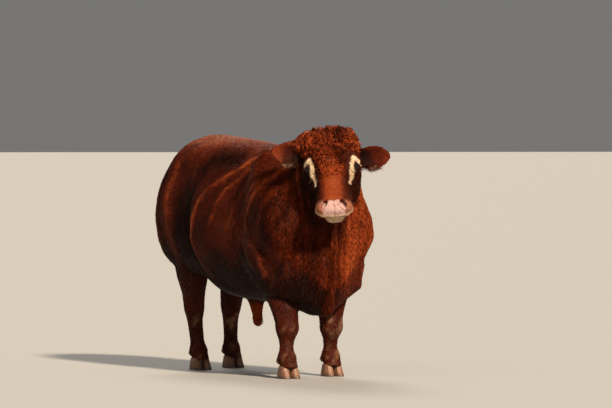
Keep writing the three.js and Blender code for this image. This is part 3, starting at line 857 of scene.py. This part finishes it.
def flowOf(points, normals, shares, edges):
    local = toHead(points)
    way = np.zeros_like(points)
    for name, direction in lies.items():
        way += shareOf(shares, name)[:, None] * np.array(direction)
    way += shareOf(shares, "head")[:, None] * headLie(local, normals)
    way += shareOf(shares, "ear")[:, None] * earLie(local)
    way[:, 1] += 0.04
    swirl = 0.16 * waves(points, 0.22, 21)[:, None] + 0.10 * waves(points, 0.07, 22)[:, None]
    way = way + swirl * np.cross(normals, way)
    flow = unit(way - normals * (way * normals).sum(1)[:, None])
    flow = relax(flow, edges, 0.5, 3)
    return unit(flow - normals * (flow * normals).sum(1)[:, None])


marks = {
    # lines in the head frame: to the side, and down the face
    "patch": ((0.128, -0.176), (0.119, -0.215), (0.109, -0.262), (0.098, -0.308)),
    "patchWidth": (0.010, 0.0165),
    "patchTaper": 0.009,
    "spot": ((0.130, -0.176), (0.152, -0.184)),  # above the eye
    "browTuft": ((-0.004, -0.205), (-0.026, -0.262)),
    "browWidth": 0.014,
    "parting": ((0.030, -0.010), (0.036, -0.090), (0.030, -0.170)),
    "partingWidth": 0.020,
    "padHalf": 0.071,
    "padTop": -0.440,
    "padLowest": -0.068,
    "lips": (-0.425, -0.470),  # where the pale hair of the lips begins, down the face
    "chin": (-0.405, -0.450),
    # painted shade in the body's hollows: ahead of the feet's middle, height, reach ahead, reach up,
    # strength
    "shadedHollows": (
        (-0.46, 0.86, 0.12, 0.24, 1.0),
        (-0.10, 1.33, 0.13, 0.04, 0.35),
        (0.30, 0.62, 0.42, 0.13, 0.95),
        (0.70, 0.95, 0.09, 0.30, 0.60),
        (0.92, 1.00, 0.10, 0.30, 0.55),
        (0.52, 0.90, 0.12, 0.14, 0.40),
    ),
    "dusty": ((0.30, 0.050, 1.0), (0.13, 0.06, 0.8)),  # height, reach and strength on the legs
    "paintedSheen": (1.375, 1.43),  # the top of the back, where a sheen is painted
}


class Spots:  # the points of the hide, as the markings see them
    def __init__(self, points, normals, shares):
        self.points, self.normals = points, normals
        self.local = toHead(points)
        self.x, self.y, self.z = self.local.T
        self.side = np.abs(self.x)
        self.ahead, self.high = feetMiddle - points[:, 1], points[:, 2]
        self.share = {name: shares[:, k] for k, name in enumerate(regions)}
        self.body = self.share["trunk"] + self.share["neck"] + self.share["dewlap"]
        self.wobble = 0.004 * waves(points, 0.05, 31) + 0.0015 * waves(points, 0.016, 32)
        self.along, self.across = earPlace(self.local)
        self.lips = smooth(*marks["lips"], self.y + self.wobble * 2.0) * self.share["head"]


def creamOfFace(at):  # patches by the eyes, lips and chin
    head = at.share["head"]
    onFace = head * smooth(-0.17, -0.13, at.z)
    low, high = marks["patchWidth"]
    patch = pathReach(at.side, at.y, marks["patch"]) + at.wobble
    narrow = marks["patchTaper"] * smooth(-0.24, -0.33, at.y)
    cream = (1.0 - smooth(low, high, patch + narrow)) * onFace
    spot = pathReach(at.side, at.y, marks["spot"]) + at.wobble
    cream = np.maximum(cream, onFace * (1.0 - smooth(low, high, spot)))
    halo = at.lips * (0.16 + 0.66 * smooth(-0.052, -0.085, at.z + at.wobble))
    chin = smooth(*marks["chin"], at.y + at.wobble * 2) * smooth(-0.095, -0.110, at.z) * head
    return np.maximum(cream, np.maximum(halo, 0.8 * chin))


def creamOfEars(at):  # the lower rims
    rim = at.share["ear"] * smooth(-0.70, -0.92, at.across)
    return 0.85 * rim * (1.0 - smooth(0.50, 0.72, at.along))


def nosePad(at):
    level = marks["padLowest"]
    front = smooth(level - 0.008, level + 0.004, at.z + at.wobble * 0.6)
    edge = marks["padHalf"] - 0.004 * smooth(-0.040, -0.068, at.z) + at.wobble * 0.5
    top = marks["padTop"]
    below = smooth(top, top - 0.006, at.y + at.wobble * 0.5 + 0.9 * at.x * at.x)
    return smooth(edge, edge - 0.006, at.side) * below * front * at.share["head"]


# dark marks, most of them painted shade
def shadeAndDarkPlaces(at, cream):
    # darker sides of the face: painted shade where they turn from the light, less on one side where
    # painted light falls
    face = at.share["head"] * smooth(0.062, 0.110, at.side) * smooth(-0.41, -0.34, at.y)
    face *= np.maximum(smooth(-0.03, -0.09, at.z), smooth(-0.20, -0.24, at.y))
    face *= 0.8 * (1.0 - 0.45 * smooth(0.0, 0.05, at.x)) * (1.0 - cream)
    # darker inside the ear's cup: painted shade
    cup = smooth(0.1, 0.5, at.normals @ headTurn @ np.array(ears["opening"]))
    cup *= 1.0 - smooth(0.55, 0.90, np.abs(at.across))
    inner = 0.75 * at.share["ear"] * cup * (1.0 - 0.85 * smooth(0.35, 0.75, at.along))
    # a dark line along the poll's parting: painted shade between the curls
    away = pathReach(at.x, at.y, marks["parting"]) / marks["partingWidth"]
    parting = at.share["head"] * 0.7 * np.exp(-(away**2))
    # darker low on the trunk: painted shade under the belly
    below = 0.75 * at.share["trunk"] * (1.0 - smooth(0.52, 0.90, at.high))
    # one side of the chest's front darker: painted shadow of the head
    shaded = at.body * smooth(0.78, 0.95, at.ahead) * smooth(1.32, 1.18, at.high)
    shaded = 0.90 * shaded * smooth(-0.02, -0.14, at.points[:, 0])
    # darker legs, most near the top: painted shade under the body
    legs = at.share["leg"] * (0.30 + 0.25 * smooth(0.40, 0.62, at.high))
    dark = np.maximum.reduce([face, inner, parting, below, shaded, legs])
    # painted shade in the hollows of the body
    for ahead, high, long, tall, strength in marks["shadedHollows"]:
        reach = ((at.ahead - ahead) / long) ** 2 + ((at.high - high) / tall) ** 2
        dark = np.maximum(dark, strength * at.body * np.exp(-reach))
    return np.clip(dark, 0.0, 1.0)


# warm tones of the coat, and painted light
def warmAndLitPlaces(at, paintedSheen):
    share, head = at.share, at.share["head"]
    warm = share["leg"] * 0.14 + share["sheath"] * 0.7 + share["scrotum"] * 0.5
    warm += 0.25 * share["switch"] + 0.8 * at.lips
    # one side of the chest's front lighter: painted light
    warm += 0.85 * at.body * smooth(0.50, 0.72, at.ahead) * smooth(0.0, 0.12, at.points[:, 0])
    curled = head * smooth(0.004, 0.012, mopDepth(at.local))
    # lighter patches on the curls: partly their own tone, partly painted light on their crests
    warm += curled * np.clip(0.25 + 0.75 * waves(at.local, 0.045, 61), 0.0, 1.0)
    # one side of the curls lighter: painted light
    warm += 0.35 * curled * smooth(0.05, 0.10, at.x) * smooth(-0.02, -0.06, at.y)
    away = pathReach(at.x, at.y, marks["browTuft"]) / marks["browWidth"]
    warm += head * 0.8 * np.exp(-(away**2))
    # the nose bridge lighter: painted light where it faces the light
    bridge = head * (1.0 - smooth(0.030, 0.080, at.side)) * smooth(-0.16, -0.27, at.y)
    warm += bridge * smooth(-0.10, -0.05, at.z)
    # lighter outer ears and tips; one ear is given less, painted shade on that ear
    tip = np.maximum(smooth(0.58, 0.90, at.along), smooth(0.55, 0.90, at.across))
    warm += tip * share["ear"] * (0.95 - 0.55 * smooth(0.0, 0.05, at.x))
    # the top of the back and neck lighter: painted light from above
    warm += (share["trunk"] + share["neck"]) * smooth(1.28, 1.40, at.high) * 0.45
    # plus the painted sheen along the top of the back
    return np.clip(warm, 0.0, 1.0) + 0.45 * paintedSheen


# real dust on the legs, and the painted sheen on the back
def dustAndSheenPlaces(at, paintedSheen):
    dusty = np.zeros(len(at.points))
    for level, reach, strength in marks["dusty"]:
        dusty += strength * np.exp(-(((at.high - level) / reach) ** 2))
    dusty *= 0.45 + 0.55 * smooth(-0.05, 0.05, at.points[:, 0])
    fore = smooth(0.1, 0.7, -at.normals[:, 1]) * np.clip(0.15 + waves(at.points, 0.07, 41), 0, 1)
    return np.clip(dusty * at.share["leg"] * fore + 0.30 * paintedSheen, 0.0, 1.0)


def markings(points, normals, shares, ridge):
    at = Spots(points, normals, shares)
    cream = creamOfFace(at)
    paintedSheen = at.share["trunk"] * smooth(*marks["paintedSheen"], at.high) * smooth(0.60, 0.35, at.ahead)
    slit = mouthShare(at.local) * at.share["head"]
    nostril = nostrilShare(at.local) * at.share["head"]
    return {
        "cream": np.maximum(cream, creamOfEars(at)) * (1.0 - slit),
        "pad": nosePad(at),
        "dark": shadeAndDarkPlaces(at, cream),
        "warm": warmAndLitPlaces(at, paintedSheen),
        # painted highlight on the folds' crests and painted shade in their creases
        "ridge": ridge,
        "dust": dustAndSheenPlaces(at, paintedSheen),
        # near-black: painted shade in the mouth's slit and the nostrils, and the lids' dark rims
        "hole": np.maximum(slit, np.maximum(nostril, lidShare(at.local))),
    }


def lidShare(local):  # 1 on the dark rims of the lids
    total = np.zeros(len(local))
    for side in (-1, 1):
        middle, radius = eyeFacts(side)
        away = local - np.array(middle)
        reach = np.linalg.norm(away, axis=1)
        ahead = away @ np.array(eyeAxes(side)[0]) / np.maximum(reach, 1e-6)
        total += (1.0 - smooth(radius + 0.0038, radius + 0.0070, reach)) * smooth(0.30, 0.60, ahead)
    return total


def mouthShare(local):  # 1 in the dark line between the lips, where shade is painted into the mouth's crease
    level = face["mouthLevel"] - face["mouthRise"] * (local[:, 1] + face["mouthFront"])
    ahead = smooth(face["mouthEnd"], face["mouthEnd"] - 0.02, local[:, 1])
    return ahead * np.exp(-(((local[:, 2] - level) / 0.0048) ** 2))


def nostrilShare(local):  # 1 deep in the nostrils, where shade is painted
    reach = np.minimum(nostrilReach(local, -1), nostrilReach(local, 1))
    return 1.0 - smooth(0.70, 1.10, reach)


ears = {  # each ear's root and tip in the head frame, half its breadth, and the way it opens
    "roots": ((-0.112, -0.134, -0.052), (0.112, -0.154, -0.062)),
    "tips": ((-0.352, -0.070, -0.044), (0.345, -0.140, -0.066)),
    "half": (0.065, 0.071),
    "opening": (0.0, -0.5, 0.87),
}


def earPlace(local):  # the share of an ear's length, and of its half breadth, up positive
    side = (local[:, 0] > 0).astype(int)
    roots, tips, half = (np.array(ears[key])[side] for key in ("roots", "tips", "half"))
    axis = tips - roots
    away = local - roots
    along = (away * axis).sum(1) / (axis * axis).sum(1)
    rise = np.array((0.0, 1.0, 0.0)) - axis * (axis[:, 1] / (axis * axis).sum(1))[:, None]
    return along, (away * unit(rise)).sum(1) / half


class Hide:  # the finished skin as arrays, with what the tufts need to know at each point
    def __init__(self, skin):
        mesh = skin.data
        self.points, edges = readPoints(mesh), readEdges(mesh)
        self.triangles = readTriangles(mesh)
        self.normals = normalsOf(self.points, self.triangles)
        self.shares = relax(regionShares(self.points), edges, 0.5, 6)
        self.flow = flowOf(self.points, self.normals, self.shares, edges)
        relief = foldRelief(self.points, self.normals) * (1.0 - self.share("head", "ear", "leg"))
        # the ridge mark: painted highlight along the fold crests, painted shade in the creases
        foldShading = np.clip(relief / folds["tallest"], -0.8, 0.4)
        ridge = litCrests(self.points, self.normals) + 0.5 * foldShading
        ridge *= self.share("trunk", "neck", "dewlap")
        self.marks = markings(self.points, self.normals, self.shares, ridge)
        self.local = toHead(self.points)
        a, b, c = (self.points[self.triangles[:, k]] for k in range(3))
        self.areas = np.linalg.norm(np.cross(b - a, c - a), axis=1) / 2.0
        self.tree = BVHTree.FromPolygons(self.points.tolist(), self.triangles.tolist())
        self.faceNormals = unit(self.normals[self.triangles].sum(1))
        self.faceFlow = unit(self.flow[self.triangles].sum(1))
        self.maps = self.unwrapped(skin)
        self.bare = self.bareness()

    def unwrapped(self, skin):  # a map coordinate for each corner of each triangle
        bpy.context.view_layer.objects.active = skin
        skin.select_set(True)
        bpy.ops.object.mode_set(mode="EDIT")
        bpy.ops.mesh.select_all(action="SELECT")
        bpy.ops.uv.smart_project(angle_limit=math.radians(66.0), island_margin=0.002)
        bpy.ops.object.mode_set(mode="OBJECT")
        skin.select_set(False)
        mesh = skin.data
        mesh.calc_loop_triangles()
        layer = mesh.uv_layers[0]
        flat = np.empty(len(mesh.loops) * 2)
        layer.uv.foreach_get("vector", flat)
        loops = np.empty(len(mesh.loop_triangles) * 3, dtype=np.int32)
        mesh.loop_triangles.foreach_get("loops", loops)
        found = flat.reshape(-1, 2)[loops].reshape(-1, 3, 2)
        mesh.uv_layers.remove(layer)
        return found

    def bareness(self):  # 1 where no hair grows: eyeballs' pockets, nose pad, nostrils
        bare = self.marks["pad"].copy()
        for side in (-1, 1):
            middle, radius = eyeFacts(side)
            reach = np.linalg.norm(self.local - np.array(middle), axis=1)
            bare = np.maximum(bare, 1.0 - smooth(radius + 0.0028, radius + 0.0034, reach))
        x, y, z = self.local.T
        place = np.array(face["nostril"])
        reach = np.linalg.norm((np.abs(self.local) * (1, 0, 0) + self.local * (0, 1, 1) - place), axis=1)
        return np.maximum(bare, 1.0 - smooth(0.018, 0.026, reach))

    def share(self, *names):
        return shareOf(self.shares, *names)


def scatter(hide, density, count, draw):  # roots in proportion to a density at each point
    want = hide.areas * (density * (1.0 - hide.bare))[hide.triangles].mean(1)
    reach = np.cumsum(want)
    spots = (np.arange(count) + draw.random(count)) * (reach[-1] / count)
    found = np.minimum(np.searchsorted(reach, spots), len(want) - 1)
    u, v = draw.random((2, count))
    over = u + v > 1.0
    u[over], v[over] = 1.0 - u[over], 1.0 - v[over]
    return found, np.stack([1.0 - u - v, u, v], 1)


def combed(hide, found, weights, lengths, steps, turns):
    # walks from each root along the lie, on the skin: places, normals and ways at each step
    corners = hide.triangles[found]

    def at(values):
        return (values[corners] * weights[:, :, None]).sum(1)

    place, normal, way = at(hide.points), unit(at(hide.normals)), unit(at(hide.flow))
    places, normals, ways = [place], [normal], [way]
    for step in range(steps):
        angle = turns[step][:, None]
        aim = way * np.cos(angle) + np.cross(normal, way) * np.sin(angle)
        ahead = place + aim * (lengths / steps)[:, None]
        hits = [hide.tree.find_nearest(point) for point in ahead]
        index = np.array([hit[2] for hit in hits])
        place = np.array([hit[0] for hit in hits])
        normal = hide.faceNormals[index]
        flow = hide.faceFlow[index]
        way = unit(0.5 * way + 0.5 * flow)
        places.append(place)
        normals.append(normal)
        ways.append(unit(aim))
    return np.array(places), np.array(normals), np.array(ways)


def weave(name, sections, rootMap, shade, hide, found, weights):
    # sections: centres, sides and tops of each cut of every tuft; the last one is a point
    centres, sides, tops = sections
    cuts, count = len(centres) - 1, len(centres[0])
    rings = [
        np.stack([centres[k] - sides[k], centres[k] + sides[k], centres[k] + tops[k]], 1)
        for k in range(cuts)
    ]
    points = np.concatenate(rings + [centres[-1][:, None]], 1)
    each = points.shape[1]
    pattern = [(0, 1, 2)]
    for k in range(cuts - 1):
        for a, b in ((0, 1), (1, 2), (2, 0)):
            low, high = 3 * k, 3 * k + 3
            pattern += [(low + b, low + a, high + a), (low + b, high + a, high + b)]
    last = 3 * (cuts - 1)
    pattern += [(last + b, last + a, each - 1) for a, b in ((0, 1), (1, 2), (2, 0))]
    faces = np.arange(count)[:, None, None] * each + np.array(pattern)[None]
    mesh = bpy.data.meshes.new(name)
    mesh.vertices.add(count * each)
    mesh.vertices.foreach_set("co", points.ravel())
    corners = faces.reshape(-1)
    mesh.loops.add(len(corners))
    mesh.loops.foreach_set("vertex_index", corners.astype(np.int32))
    mesh.polygons.add(len(corners) // 3)
    mesh.polygons.foreach_set("loop_start", np.arange(0, len(corners), 3, dtype=np.int32))
    mesh.update(calc_edges=True)
    mesh.shade_smooth()
    across = np.array([-1.0, 1.0, 0.0] * cuts + [0.0]) * tuftPatch / 2
    along = np.append(np.repeat(np.arange(cuts) / cuts, 3), 1.0)
    unwrap = rootMap[:, None, :] + np.stack([across, (along - 0.5) * tuftPatch], 1)[None]
    layer = mesh.uv_layers.new(name="OFBake")
    layer.uv.foreach_set("vector", unwrap.reshape(-1, 2)[corners].ravel())
    corner = hide.triangles[found]
    facts = {key: (values[corner] * weights).sum(1) for key, values in hide.marks.items()}
    facts["shade"] = shade
    for key, values in facts.items():
        writeAttribute(mesh, key, np.repeat(values, each))
    writeAttribute(mesh, "along", np.tile(along, count))
    return addObject(name, mesh)


tuftPatch = 0.003  # of a tuft on the unwrapped skin

# Each coat piece. "grows": density at each point. Lengths in metres; lift is the tip's height;
# sway and rise are how far a lock waves sideways and up, over its "waves" waves.
plain = {
    "length": 0.036, "width": 0.0040, "thick": 0.0013, "root": -0.0015, "lift": 0.0040,
    "steps": 2, "sway": 0.0, "rise": 0.0, "waves": 0.0, "stray": 0.16, "count": 19400,
}


def between(values, low, high):
    return ((values > low) & (values <= high)).astype(float)


def cheekShare(hide):
    x, y, z = hide.local.T
    where = smooth(-0.40, -0.32, y) * smooth(0.085, 0.12, np.abs(x)) * smooth(-0.02, -0.07, z)
    return hide.share("head") * where * (1.0 - smooth(0.0, 0.06, hide.marks["cream"]))


def foreheadShare(hide):
    where = smooth(0.002, 0.010, mopDepth(hide.local))
    return hide.share("head") * where * (1.0 - smooth(0.1, 0.4, hide.marks["cream"]))


def fringeShare(hide):
    along, across = earPlace(hide.local)
    return hide.share("ear") * smooth(-0.55, -0.85, across) * (1.0 - smooth(0.45, 0.75, along))


coats = {
    "coat_quarters": {
        "grows": lambda hide: hide.share("trunk") * between(hide.points[:, 1], 0.44, 2.0),
        "length": 0.036,
    },
    "coat_flanks": {
        "grows": lambda hide: hide.share("trunk") * between(hide.points[:, 1], 0.03, 0.44),
        "length": 0.028,
    },
    "coat_shoulders": {
        "grows": lambda hide: hide.share("trunk") * between(hide.points[:, 1], -2.0, 0.03),
        "length": 0.040,
    },
    "coat_neck": {
        "grows": lambda hide: hide.share("neck", "dewlap"),
        "length": 0.060, "width": 0.0048, "thick": 0.0018, "lift": 0.0060, "steps": 3,
        "sway": 0.0030, "rise": 0.0008, "waves": 1.0, "stray": 0.20, "count": 12000,
    },
    "coat_legs": {
        "grows": lambda hide: hide.share("leg"),
        "length": 0.022, "width": 0.0036, "thick": 0.0012, "lift": 0.0030, "stray": 0.16,
        "count": 15500,
    },
    "coat_face": {
        "grows": lambda hide: hide.share("head") * (1.0 - foreheadShare(hide)),
        "length": 0.014, "width": 0.0024, "thick": 0.0009, "root": -0.0008, "lift": 0.0024,
        "stray": 0.16, "count": 15500,
    },
    "coat_ears": {
        "grows": lambda hide: hide.share("ear"),
        "length": 0.012, "width": 0.0022, "thick": 0.0008, "root": -0.0008, "lift": 0.0018,
        "stray": 0.12, "count": 6000,
    },
    "coat_cheeks": {
        "grows": cheekShare,
        "length": 0.030, "width": 0.0046, "thick": 0.0024, "lift": 0.0060, "steps": 6,
        "sway": 0.0050, "rise": 0.0020, "waves": 1.2, "stray": 0.6, "count": 1000,
    },
    "poll_curls": {
        "grows": foreheadShare,
        "length": 0.105, "width": 0.0110, "thick": 0.0056, "lift": 0.0, "steps": 10,
        "sway": 0.0120, "rise": 0.0070, "waves": 1.7, "stray": 0.55, "count": 2000,
    },
    "poll_wisps": {
        "grows": foreheadShare,
        "length": 0.090, "width": 0.0034, "thick": 0.0020, "lift": 0.004, "steps": 8,
        "sway": 0.0100, "rise": 0.0060, "waves": 1.6, "stray": 0.7, "count": 1600,
    },
    "ear_fringe": {
        "grows": fringeShare,
        "length": 0.022, "width": 0.0026, "thick": 0.0016, "lift": 0.024, "steps": 4,
        "sway": 0.0020, "rise": 0.0, "waves": 0.8, "stray": 0.3, "count": 700,
    },
    "coat_tail": {
        "grows": lambda hide: hide.share("tail"),
        "length": 0.030, "width": 0.0036, "thick": 0.0014, "lift": 0.0036, "count": 2500,
    },
    "tail_hair": {
        "grows": lambda hide: hide.share("switch") * smooth(0.72, 0.60, hide.points[:, 2]),
        "length": 0.15, "width": 0.0060, "thick": 0.0035, "lift": 0.010, "steps": 9,
        "sway": 0.0050, "rise": 0.0030, "waves": 1.6, "stray": 0.15, "count": 900,
    },
    "coat_sheath": {
        "grows": lambda hide: hide.share("sheath", "scrotum"),
        "length": 0.026, "width": 0.0038, "thick": 0.0014, "lift": 0.0040, "count": 3500,
    },
    "sheath_tuft": {
        "grows": lambda hide: hide.share("sheath") * smooth(0.352, 0.325, hide.points[:, 2]),
        "length": 0.050, "width": 0.0045, "thick": 0.0024, "lift": 0.016, "steps": 5,
        "sway": 0.0050, "rise": 0.0020, "waves": 0.9, "stray": 0.4, "count": 350,
    },
}


def growCoat(hide, name):
    facts = {**plain, **coats[name]}
    draw = np.random.default_rng(sum(map(ord, name)))
    count = facts["count"] // 1
    steps = facts["steps"]
    found, weights = scatter(hide, facts["grows"](hide), count, draw)
    corner = hide.triangles[found]
    root = (hide.points[corner] * weights[:, :, None]).sum(1)
    lengths = facts["length"] * draw.uniform(0.65, 1.25, count)
    deep = mopDepth(toHead(root)) * (name in ("poll_curls", "poll_wisps"))
    if name == "coat_face":
        down = toHead(root)[:, 1]
        lengths = lengths * (1.0 - 0.45 * smooth(-0.36, -0.45, down))
        lengths = lengths * (1.0 - 0.40 * (hide.marks["cream"][corner] * weights).sum(1))
        lengths = lengths * (1.0 + 1.0 * np.exp(-(((down + 0.245) / 0.035) ** 2)))
    if deep.max() > 0.0:
        lengths = lengths * (0.25 + 0.75 * deep / mop["deepest"])
    clump = 0.5 * waves(root, 0.035, 51) + 0.35 * waves(root, 0.014, 52)
    bend = facts["stray"] * (clump + draw.normal(0.0, 0.45, count))
    turns = np.array([bend * (0.6 + 0.5 * step / steps) for step in range(steps)])
    places, normals, ways = combed(hide, found, weights, lengths, steps, turns)
    tall = deep * draw.uniform(0.15, 1.0, count) + facts["lift"] * draw.uniform(0.5, 1.3, count)
    phase = math.pi * (1.6 * waves(root, 0.07, 53) + draw.uniform(-0.35, 0.35, count))
    size = draw.uniform(0.75, 1.25, count)
    centres, sides, tops = [], [], []
    for k in range(steps + 1):
        t = k / steps
        side = unit(np.cross(normals[k], ways[k]))
        swing = 2.0 * math.pi * facts["waves"] * t * size + phase
        grown = min(1.0, 2.5 * t)
        up = facts["root"] + (tall - facts["root"]) * (t**0.75 if steps > 2 else t)
        up = up + grown * facts["rise"] * np.cos(swing)
        sway = grown * facts["sway"] * np.sin(swing)
        centre = places[k] + normals[k] * up[:, None] + side * (sway * size)[:, None]
        taper = math.sin(math.pi * min(1.0, 0.30 + 0.72 * t)) ** 0.7 if t < 1 else 0.0
        centres.append(centre)
        sides.append(side * (facts["width"] / 2 * taper * size)[:, None])
        tops.append(normals[k] * (facts["thick"] * taper * size)[:, None])
    rootMap = (hide.maps[found] * weights[:, :, None]).sum(1)
    shade = np.clip(0.5 + 0.35 * clump + draw.normal(0.0, 0.16, count), 0.0, 1.0)
    thing = weave(name, (centres, sides, tops), rootMap, shade, hide, found, weights)
    thing.data.materials.append(finishes["hair"])
    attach(thing, "root")
    print(name, count, "tufts,", len(thing.data.polygons), "triangles")
    return len(thing.data.polygons)


coatColours = {
    "deep": (0.012, 0.0014, 0.0006, 1.0),
    "red": (0.105, 0.0130, 0.0034, 1.0),
    "bright": (0.340, 0.0560, 0.0130, 1.0),
    "orange": (0.560, 0.1400, 0.0360, 1.0),
    "cream": (0.860, 0.6900, 0.4900, 1.0),
    "creamDark": (0.680, 0.4600, 0.2800, 1.0),
    # pale dust of the legs, also the painted sheen of the back
    "dust": (0.460, 0.2500, 0.1300, 1.0),
    # for the painted shade of the mouth and nostrils, and the lids' dark rims
    "hole": (0.024, 0.0070, 0.0070, 1.0),
    "pad": (0.500, 0.3100, 0.2750, 1.0),
    "padDark": (0.370, 0.2100, 0.1850, 1.0),
}


def coatColour(graph, shade):  # the same markings on skin and tufts
    colours = coatColours
    place = graph.place()
    broad = graph.noise(place, 4.5, 3.0)
    fine = graph.noise(graph.stretch(place, (1.0, 1.0, 0.45)), 26.0, 3.0, 0.6)
    warm, dark = graph.attribute("warm"), graph.attribute("dark")
    tone = shade * 0.26 + broad * 0.34 + fine * 0.24 - 0.12
    # warm and dark carry painted light and shade as well as the coat's own tones; ridge is painted
    # highlight on the folds and painted shade in their creases
    tone = tone + warm * 0.36 - dark * 0.36 + graph.attribute("ridge") * 0.42
    stops = [
        (0.06, colours["deep"]), (0.36, colours["red"]),
        (0.64, colours["bright"]), (0.92, colours["orange"]),
    ]
    red = graph.node("ShaderNodeValToRGB", {"stops": stops}, {0: tone})
    pale = graph.mix(fine.steps(0.35, 0.62), colours["creamDark"], colours["cream"])
    # dust on the legs and painted sheen on the back
    colour = graph.mix(graph.attribute("dust") * fine.steps(0.10, 0.80), red, colours["dust"])
    colour = graph.mix(graph.attribute("cream"), colour, pale)
    return graph.mix(graph.attribute("hole"), colour, colours["hole"]), fine


def hairFinish():
    graph = Graph("coat hair")
    shade, along = graph.attribute("shade"), graph.attribute("along")
    colour, _ = coatColour(graph, shade)
    # darker towards each tuft's root: painted shade between the hairs
    lit = along.steps(-0.1, 0.7) + graph.attribute("cream") * 0.7
    rootShade = graph.mix(lit, (0.42, 0.40, 0.40, 1.0), (1.0, 1.0, 1.0, 1.0))
    colour = graph.mix(1.0, colour, rootShade, "MULTIPLY")
    graph.finish({
        "Base Color": colour, "Roughness": 0.48, "Specular IOR Level": 0.14,
        "Specular Tint": (1.0, 0.50, 0.30, 1.0),
    })
    return graph.material


def hideFinish():
    graph = Graph("hide")
    # lower tone and darkened: painted shade under the tufts
    colour, fine = coatColour(graph, 0.35)
    place = graph.place()
    colour = graph.mix(1.0, colour, (0.72, 0.70, 0.70, 1.0), "MULTIPLY")
    pores = graph.node("ShaderNodeTexVoronoi", {}, {"Vector": place, "Scale": 420.0})
    blotch = graph.noise(place, 60.0, 4.0, 0.65)
    mottled = graph.mix(blotch.steps(0.46, 0.60), coatColours["pad"], coatColours["padDark"])
    pad = graph.attribute("pad")
    colour = graph.mix(pad * (1.0 - graph.attribute("hole")), colour, mottled)
    strand = graph.noise(graph.stretch(place, (260.0, 150.0, 70.0)), 1.0, 3.0, 0.6)
    height = strand * (1.0 - pad) + pores * pad * 0.8
    rough = 0.60 - pad * 0.26
    graph.finish({
        "Base Color": colour, "Roughness": rough, "Specular IOR Level": 0.14,
        "Normal": graph.bump(height, 0.6, 0.003),
    })
    return graph.material


makeCamera()
makeStudio()
print("studio is set")
finishes = {"hair": hairFinish(), "hide": hideFinish(), "horn": hornFinish()}
skin = makeSkin()
for side in (-1, 1):
    makeEye(side)
for name in nodes:
    if "claw" in name:
        makeHoof(name)
print("eyes and hooves are in")
hide = Hide(skin)
print("skin is unwrapped")
for key, values in hide.marks.items():
    writeAttribute(skin.data, key, values)
skin.data.materials.append(finishes["hide"])
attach(skin, "root")
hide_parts(*fleshNodes)
total = sum(growCoat(hide, name) for name in coats)
print("coat:", total, "triangles")
